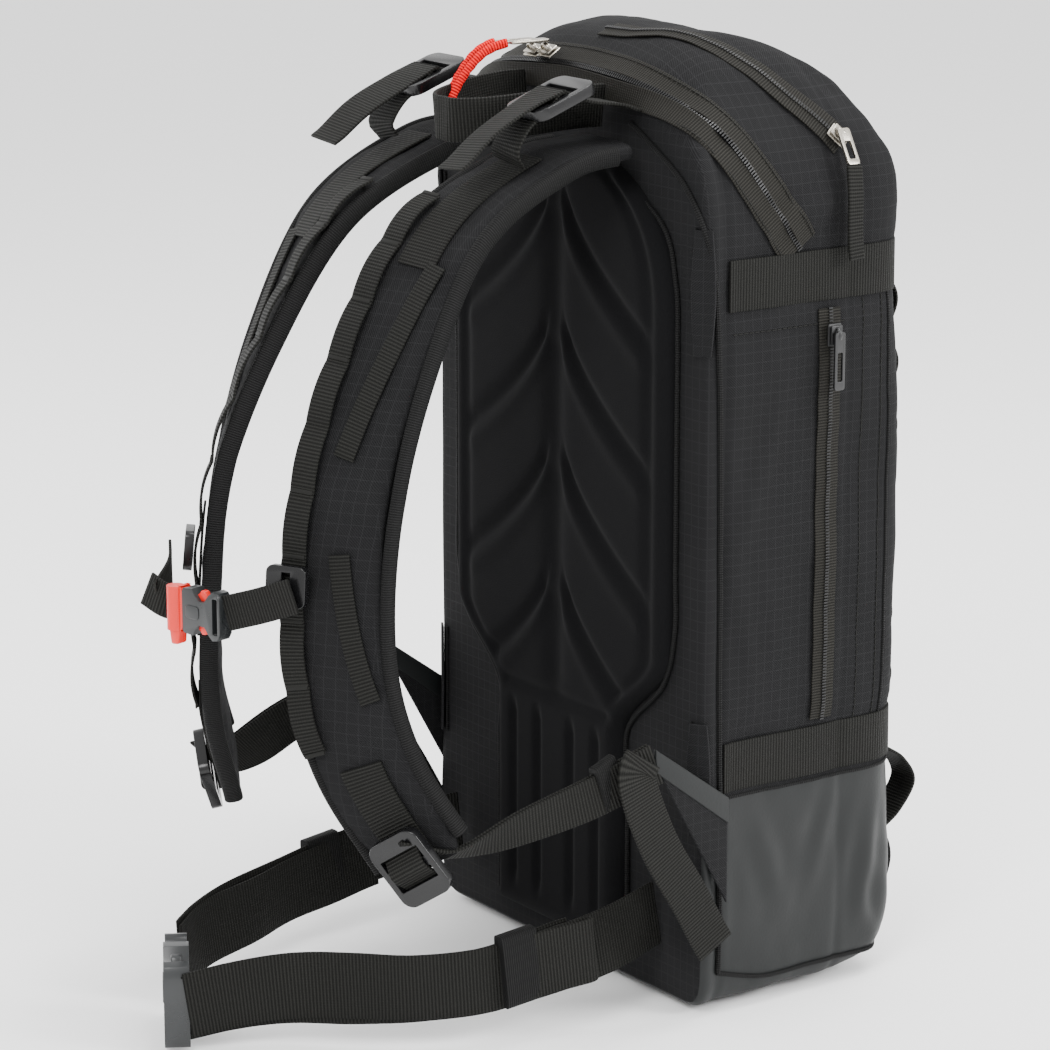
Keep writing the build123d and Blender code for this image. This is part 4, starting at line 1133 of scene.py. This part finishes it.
class PACK_OT_adjusters(bpy.types.Operator):
    """Fits the ladder locks, their webbings and tails, the wings and the load lifters"""

    bl_idname = "pack.adjusters"
    bl_label = "Adjusters and lifters"

    def execute(self, context):
        for word in ("left", "right"):
            for node in (f"adjuster_lock_{word}", f"lifter_lock_{word}"):
                own(cad_copy(node, 2.0, 4), node.replace("lock", "ladder_lock"), node, "black_acetal", [node])
                across = ADJUSTER_ACROSS if "adjuster" in node else (1, 0, 0)
                across = mirrored([(0, 0, 0, *across)], 1 if word == "left" else -1)[0][3:]
                own(self.bar_webbing(node, np.array(across)), node.replace("lock", "lock_webbing"), node,
                    "nylon_webbing")
        wing_x = HALF + 1.6
        root, tip = BACK_SEAM + 1, WING_TIP
        band = [(root, 127), (tip, 163), (tip, 150), (root, 112)]
        gusset = [(root, 114), (tip + 2, 151), (tip + 5, 146), (root, 66)]
        axes = [(0, 1, 0), (0, 0, 1), (1, 0, 0)]
        wings = [frame_plate(band, [], 2.8, (wing_x * side, 0, 0), axes, 0.8) for side in (1, -1)]
        gussets = [frame_plate(gusset, [], 1.8, ((wing_x - 0.3) * side, 0, 0), axes, 0.6) for side in (1, -1)]
        web = [(wing_x - 1, -112, 156, 0, 0.25, 1), (126, -150, 142, 0.1, 0.2, 1),
               (118, -190, 132, 0.4, 0.2, 0.9), (107, -232, 122, 0.75, 0.35, 0.35),
               (98, -258, 128, 0.85, 0.5, 0.1)]
        webs = []
        for gap in (-1.3, 1.3):
            ply = [(x + gap, y, z - abs(gap), *way) for x, y, z, *way in web]
            webs += both_sides(ply, LOAD_WIDTH, 1.5, relief=lambda share, spread, run: 1.2 * np.sin(share * 7))
        tail = [(wing_x + 2, -122, 160, 0, 1, 0.1), (wing_x + 3, -127, 148, 0, 1, -0.1),
                (wing_x + 3, -112, 110, 0, 0.9, 0.45), (wing_x + 4, -92, 76, 0, 0.88, 0.48),
                (wing_x + 4, -74, 44, 0, 0.88, 0.48)]
        tails = both_sides(tail, LOAD_WIDTH, LOAD_THICK, relief=hem(0.9, 0.05))
        keeper = [(124, -132, 149, 0, 0.25, 1), (125.5, -146, 144, 0, 0.25, 1)]
        keepers = both_sides(keeper, 14.5, 3.6, make=tube, step=2, count=20, power=0.4)
        own(joined(wings), "hip_wing_cloth", "pack", "coated_polyester", ["hip_wings"])
        gussets = joined(gussets)
        box_uv(gussets)
        own(gussets, "hip_wing_gussets", "pack", "ripstop_nylon")
        crossing = ("pack", "harness", (0, -112, 156), (0, -256, 126))
        own(joined(webs), "adjuster_webbing_cloth", crossing, "nylon_webbing", ["adjuster_webbings"])
        own(joined(tails), "adjuster_tail_cloth", "pack", "nylon_webbing", ["adjuster_tails"])
        own(joined(keepers), "adjuster_keepers", "pack", "stretch_binding")
        middle = [(60, BACK - 2.4, 497), (60, -92, 501), (60, -112, 504), (60, -124, 508), (60, -131, 511.5)]
        anchors = both_sides([(*p, 1, 0, 0) for p in middle], LOAD_WIDTH, LOAD_THICK)
        middle = [(60, -128, 506), (60, -140, 501), (60, -152, 494), (60, -160, 482), (58, -156, 474)]
        lifters = both_sides([(*p, 1, 0, 0) for p in middle], LOAD_WIDTH, LOAD_THICK)
        loose = [(60, -131, 511, 1, 0, 0), (60, -150, 503, 1, 0, 0.1), (61, -174, 491, 1, 0, 0.15),
                 (62, -196, 474, 1, 0, 0.1)]
        lifters += both_sides(loose, LOAD_WIDTH, LOAD_THICK, relief=hem(0.9, 0.06))
        own(joined(anchors), "lifter_anchor_cloth", "pack", "nylon_webbing", ["lifter_anchors"])
        crossing = ("pack", "harness", (0, -128, 506), (0, -152, 494))
        own(joined(lifters), "lifter_webbing_cloth", crossing, "nylon_webbing", ["lifter_webbings"])
        low, high = corners("haul_loop")
        z = (low[2] + high[2]) / 2
        loop = [(36, high[1], z), (35, -98, z), (30, -124, z - 2), (21, -146, z - 4), (9, -157, z - 5),
                (0, -158, z - 5)]
        loop = [(*p, 0.12, 0, 1) for p in loop]
        loop = loop + [(-x, y, h, -a, b, c) for x, y, h, a, b, c in reversed(loop[:-1])]
        grip = strip(loop, LOAD_WIDTH, 2.6, relief=lambda share, spread, run: 0.5 * np.sin(run / 19))
        own(grip, "haul_loop_webbing", "haul_loop", "nylon_webbing", ["haul_loop"])
        return {"FINISHED"}

    def bar_webbing(self, node, across):
        """The short run of webbing that passes over a ladder lock's middle bar."""
        spots = places_of(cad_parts[node].data.vertices) / MM
        centre = (spots.max(axis=0) + spots.min(axis=0)) / 2
        _, ways = np.linalg.eigh(np.cov((spots - centre).T))
        out = ways[:, 0] * (1 if ways[1, 0] < 0 else -1)
        down = unit(np.cross(out, across))
        heights = [(-15, -2.5), (-10, -1.0), (-6.5, 1.2), (0, 4.4), (6.5, 1.2), (10, -1.0), (15, -2.5)]
        line = [(*(centre + down * run + out * lift), *across) for run, lift in heights]
        return strip(line, LOAD_WIDTH, LOAD_THICK, step=1.2)


# ---- side-release buckles -----------------------------------------------------------------------
CHEST_WAY = (-0.970728, -0.24018, 0)
BELT_WAY = (-0.866025, 0.496786, 0.056602)


def buckle_axes(way):
    """A buckle's directions: along its strap, up across the webbing, and out of its face."""
    way = unit(np.array(way))
    up = np.array([0.0, 0.0, 1.0])
    up = unit(up - way * (up @ way))
    out = np.cross(way, up)
    return (way, up, out) if out[1] < 0 else (way, -up, np.cross(way, -up))


def side_release(word, node, way, half, reach, thick, socket_tone, plug_tone):
    """A side-release buckle: waisted socket, plug with its tongue, and two barbed prongs."""
    axes = buckle_axes(way)
    way, up, out = axes
    low, high = corners(node + "_socket")
    middle = (low + high) / 2
    waist = [(-reach, half * 0.7), (-reach * 0.86, half * 0.96), (-reach * 0.6, half),
             (-reach * 0.42, half * 0.84), (-reach * 0.18, half * 0.52), (reach * 0.12, half * 0.5),
             (reach * 0.34, half * 0.74), (reach * 0.46, half * 0.97), (reach * 0.92, half * 0.92),
             (reach, half * 0.8)]
    outline = waist + [(x, -y) for x, y in reversed(waist)]
    slot = rounded(reach * 0.26, half * 1.5, 1.0, (-reach * 0.74, 0))
    shell = frame_plate(outline, [slot], thick, middle, axes, thick * 0.2)
    crest = middle + out * thick / 2 + way * reach * 0.45
    crest = frame_plate(rounded(reach * 0.7, half * 0.55, 2.0), [], 1.2, crest, axes, 0.4)
    own(joined([shell, crest]), f"{word}_buckle_socket", node, socket_tone + "_acetal", [node + "_socket"])
    mouth = middle + way * reach
    low, high = corners(node + "_plug")
    length = float(abs(((low + high) / 2 - mouth) @ way)) - 0.6
    window = rounded(length * 0.62, half * 1.46, 1.2, (length * 0.3, 0))
    yoke = frame_plate(rounded(length * 2, half * 1.9, half * 0.26), [window], thick * 0.86,
                       mouth + way * (length + 0.6), axes, thick * 0.2)
    tongue = block(mouth - way * reach * 0.45, (reach, half * 0.3, thick * 0.3), axes, 0.5)
    own(joined([yoke, tongue]), f"{word}_buckle_plug", node + "_plug", plug_tone + "_acetal", [node + "_plug"])
    barb = [(-0.2, 0.36), (-0.2, 0.58), (-reach * 0.72, 0.74), (-reach * 0.86, 0.92), (-reach * 1.04, 0.9),
            (-reach * 1.22, 0.6), (-reach * 1.24, 0.46), (-reach * 0.8, 0.44)]
    for side, place in ((1, "upper"), (-1, "lower")):
        rise = side * (1 if up[2] > 0 else -1)
        outline = [(x, y * half * rise) for x, y in barb]
        prong = frame_plate(outline, [], thick * 0.42, mouth, axes, thick * 0.07)
        prong_node = f"{node}_prong_{place}"
        own(prong, f"{word}_buckle_prong_{place}", prong_node, plug_tone + "_acetal", [prong_node])


# ---- chest strap --------------------------------------------------------------------------------
CHEST_WEBBING = (19.0, 1.7)


class PACK_OT_chest_strap(bpy.types.Operator):
    """Builds the chest strap with its clips, webbings and side-release buckle"""

    bl_idname = "pack.chest_strap"
    bl_label = "Chest strap"

    def execute(self, context):
        own(cad_copy("sternum_clips", 1.0, 3), "chest_clips", "sternum", "black_acetal", ["sternum_clips"])
        side_release("chest", "sternum", CHEST_WAY, 13.2, 14.0, 9.0, "grey", "red")
        low, high = corners("sternum_plug")
        middle = (low + high) / 2
        way, up, out = buckle_axes(CHEST_WAY)
        root = middle + way * 4
        outline = [(-3.5, 0), (-2.6, 9), (2.6, 9.6), (4.2, 0)]
        lobe = frame_plate(outline, [], 7.5, root + up * 11, [way, up, out], 1.4)
        barrel = tube([(*(root + up * t), 1, 0, 0) for t in (-12, -6, 0, 6, 12)], 4.6, 4.9, step=2, count=16,
                      shift=(0, 1.5))
        own(joined([lobe, barrel]), "chest_whistle", "sternum_plug", "red_acetal")
        tail = middle + way * 8
        loose = [(*(tail - out * 3), 0, 0, 1), (*(tail + way * 8 - up * 2), 0, 0.1, 1),
                 (*(tail + way * 20 - up * 6), 0, 0.2, 1)]
        own(strip(loose, *CHEST_WEBBING), "chest_tail", "sternum_plug", "nylon_webbing")
        for side, word in ((1, "left"), (-1, "right")):
            low, high = corners(f"sternum_webbing_{word}")
            z = (low[2] + high[2]) / 2
            near, far = (high[0], low[0])[::side]
            start = high[1] if side > 0 else low[1] + 26
            web = [(near, start, z + 8, 0, 0, 1), ((near + far) / 2, (low[1] + high[1]) / 2, z, 0, 0, 1),
                   (far, low[1], z - 7, 0, 0, 1)]
            body = "sternum" if side > 0 else ("sternum", "sternum_plug", (near, -290, z), (far, -320, z))
            own(strip(web, *CHEST_WEBBING), f"chest_webbing_{word}", body, "nylon_webbing",
                [f"sternum_webbing_{word}"])
        return {"FINISHED"}


# ---- hip belt -----------------------------------------------------------------------------------
BELT_ROOT = np.array([0, -84.0, 54.7])
BELT_TILT = math.radians(6.5)
BELT_WIDTH = 38.0
BELT_THICK = 1.7


def belt_point(x, y, up=0.0):
    """A point of the belt's own plane, and its direction across."""
    down = np.array([0, math.cos(BELT_TILT), math.sin(BELT_TILT)])
    rise = np.array([0, -math.sin(BELT_TILT), math.cos(BELT_TILT)])
    return (*(BELT_ROOT + np.array([x, 0, 0]) + down * y + rise * up), *rise)


class PACK_OT_hip_belt(bpy.types.Operator):
    """Builds the hip belt with its doubled webbings, keepers and side-release buckle"""

    bl_idname = "pack.hip_belt"
    bl_label = "Hip belt"

    def execute(self, context):
        near = [(97, 0), (102, -30), (101, -60), (97, -110), (80, -146), (58, -172), (34, -200), (18, -229),
                (10, -252)]
        far = [(-97, 0), (-102, -30), (-101, -60), (-96, -112), (-84, -160), (-73, -196), (-64, -212),
               (-59, -218)]
        wave = lambda share, spread, run: (1.8 * np.sin(share * 11) * (0.4 + spread)
                                           + 1.0 * np.sin(share * 17 + 1))
        plies = {
            "left": ([belt_point(x, y, -3 * math.sin(k * 0.7)) for k, (x, y) in enumerate(near)],
                     [belt_point(x - 3, y, -2 - 2 * math.sin(k * 0.9)) for k, (x, y) in enumerate(near[2:])]),
            "right": ([belt_point(x, y) for x, y in far], [belt_point(x + 3, y, -2) for x, y in far[2:]]),
        }
        bodies = {"left": "belt", "right": ("belt", "belt_plug", (-84, -240, 36), (-59, -300, 30))}
        for word, lines in plies.items():
            own(joined([strip(line, BELT_WIDTH, BELT_THICK, relief=wave) for line in lines]),
                f"belt_webbing_cloth_{word}", bodies[word], "nylon_webbing", [f"belt_webbing_{word}"])
        for side, word in ((1, "left"), (-1, "right")):
            ring = [belt_point(98.5 * side, -107), belt_point(99.5 * side, -85)]
            own(tube(ring, BELT_WIDTH / 2 + 2, 4.4, step=2, count=28, power=0.3), f"belt_keeper_elastic_{word}",
                f"belt_keeper_{word}", "stretch_binding", [f"belt_keeper_{word}"])
        side_release("belt", "belt", BELT_WAY, 24.5, 21.0, 14.0, "grey", "grey")
        turn = [(101, -104), (103, -86), (107, -66), (109, -56), (107.5, -51.5), (105, -56), (103.5, -70),
                (102.5, -84)]
        fold = strip([belt_point(x, y, -1) for x, y in turn], BELT_WIDTH - 1, BELT_THICK, step=1.5)
        own(fold, "belt_tail_fold", "belt", "nylon_webbing")
        return {"FINISHED"}


# ---- front loops --------------------------------------------------------------------------------
class PACK_OT_front_loops(bpy.types.Operator):
    """Sews the daisy chains, the axe loop and the shaft keeper down the front"""

    bl_idname = "pack.front_loops"
    bl_label = "Front loops"

    def execute(self, context):
        low, high = corners("daisy_chains")
        x = high[0] - 5.5
        line = [(x, FRONT, z) for z in np.linspace(low[2] - 8, high[2] + 8, 15)]
        chains = both_sides(line, 11, 1.6, step=2, seat=seated(1.2), relief=daisy(8.5, 7, 1.3))
        own(joined(chains), "daisy_chain_webbing", "pack", "nylon_webbing", ["daisy_chains"])
        for name, node, width, material in (("axe_loop_webbing", "axe_loop", 20, "nylon_webbing"),
                                            ("shaft_keeper_elastic", "shaft_keeper", 6, "stretch_binding")):
            low, high = corners(node)
            reach, height = high[1], high[2] - low[2]
            loop = [(FRONT - 1, high[2]), ((FRONT + reach) / 2 + 2, high[2] - height * 0.2),
                    (reach - 1, high[2] - height * 0.5), ((FRONT + reach) / 2, low[2] + height * 0.18),
                    (FRONT - 1, low[2])]
            webbing = strip([(x, y, z, 1, 0, 0) for y, z in loop], width, 1.8, step=1.5)
            own(webbing, name, "pack", material, [node])
        return {"FINISHED"}


class PACK_OT_inside(bpy.types.Operator):
    """Gives the parts inside the bag their finishes"""

    bl_idname = "pack.inside"
    bl_label = "Inside parts"

    def execute(self, context):
        finishes = {
            "frame_sheet": "hdpe_sheet",
            "frame_stays": "anodised_aluminium",
            "gas_cylinder": "anodised_aluminium",
            "airbag_pouch": "airbag_nylon",
            "inflator_head": "black_acetal",
            "cylinder_clamps": "black_acetal",
        }
        for node, material in finishes.items():
            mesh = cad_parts[node].data
            mesh.materials.clear()
            mesh.materials.append(bpy.data.materials[material])
        return {"FINISHED"}


# ---- stage --------------------------------------------------------------------------------------
class PACK_OT_stage(bpy.types.Operator):
    """Adds the floor, the soft studio lights and the camera"""

    bl_idname = "pack.stage"
    bl_label = "Stage"

    def execute(self, context):
        bpy.ops.object.select_all(action="DESELECT")
        bpy.ops.mesh.primitive_plane_add(size=30, location=(0, 0, -0.0005))
        floor = context.object
        floor.name = "floor"
        _, principled = start_material("white_paper_sweep", roughness=0.9)
        principled.inputs["Base Color"].default_value = (*linear("#fafafa"), 1)
        floor.data.materials.append(bpy.data.materials["white_paper_sweep"])
        world = bpy.data.worlds.new("studio")
        world.use_nodes = True
        backdrop = world.node_tree.nodes["Background"].inputs
        backdrop["Color"].default_value = (*linear("#ffffff"), 1)
        backdrop["Strength"].default_value = 1.7
        context.scene.world = world
        target = Vector((-0.0965, -0.0381, 0.2295))
        lamps = [("key", (1.2, -1.9, 1.9), 0.9, 45), ("rim", (2.0, 1.2, 1.4), 0.8, 60),
                 ("top", (0.2, 0.5, 2.2), 1.0, 45), ("fill", (-1.8, -0.9, 1.0), 1.4, 20)]
        for name, place, size, power in lamps:
            light = bpy.data.lights.new(name, "AREA")
            light.size = size
            light.energy = power
            lamp = linked(name, light)
            lamp.location = place
            lamp.rotation_euler = (target - Vector(place)).to_track_quat("-Z", "Y").to_euler()
        camera = bpy.data.cameras.new("camera")
        camera.lens = 135
        camera.sensor_width = 36
        eye = linked("camera", camera)
        eye.location = (1.744, -1.327, 0.790)
        eye.rotation_euler = (target - eye.location).to_track_quat("-Z", "Y").to_euler()
        context.scene.camera = eye
        return {"FINISHED"}


OPERATORS = [PACK_OT_stage, PACK_OT_pull_cords, PACK_OT_bag_shell, PACK_OT_seams, PACK_OT_back_pad,
             PACK_OT_bands, PACK_OT_zips, PACK_OT_pullers, PACK_OT_shoulder_straps,
             PACK_OT_adjusters, PACK_OT_chest_strap, PACK_OT_hip_belt, PACK_OT_front_loops, PACK_OT_inside]


class PACK_PT_panel(bpy.types.Panel):
    """Lists the pack's pieces, sizes and colours in the sidebar"""

    bl_idname = "PACK_PT_panel"
    bl_label = "Airbag backpack"
    bl_space_type = "VIEW_3D"
    bl_region_type = "UI"
    bl_category = "Backpack"

    def draw(self, context):
        for group in (context.scene.pack_sizes, context.scene.pack_colours):
            for key in group.__annotations__:
                self.layout.prop(group, key)
        for operator in OPERATORS:
            self.layout.operator(operator.bl_idname)


CLASSES = [PackColours, PackSizes, *OPERATORS, PACK_PT_panel]


def register():
    """Registers the classes and hangs the settings on the scene."""
    for made in CLASSES:
        bpy.utils.register_class(made)
    bpy.types.Scene.pack_colours = bpy.props.PointerProperty(type=PackColours)
    bpy.types.Scene.pack_sizes = bpy.props.PointerProperty(type=PackSizes)


def unregister():
    """Takes the settings and the classes away again."""
    del bpy.types.Scene.pack_sizes
    del bpy.types.Scene.pack_colours
    for made in reversed(CLASSES):
        bpy.utils.unregister_class(made)


def main():
    """Builds the whole pack."""
    register()
    pack_materials()
    for operator in OPERATORS:
        family, name = operator.bl_idname.split(".")
        getattr(getattr(bpy.ops, family), name)()
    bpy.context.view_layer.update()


if __name__ == "__main__":
    main()
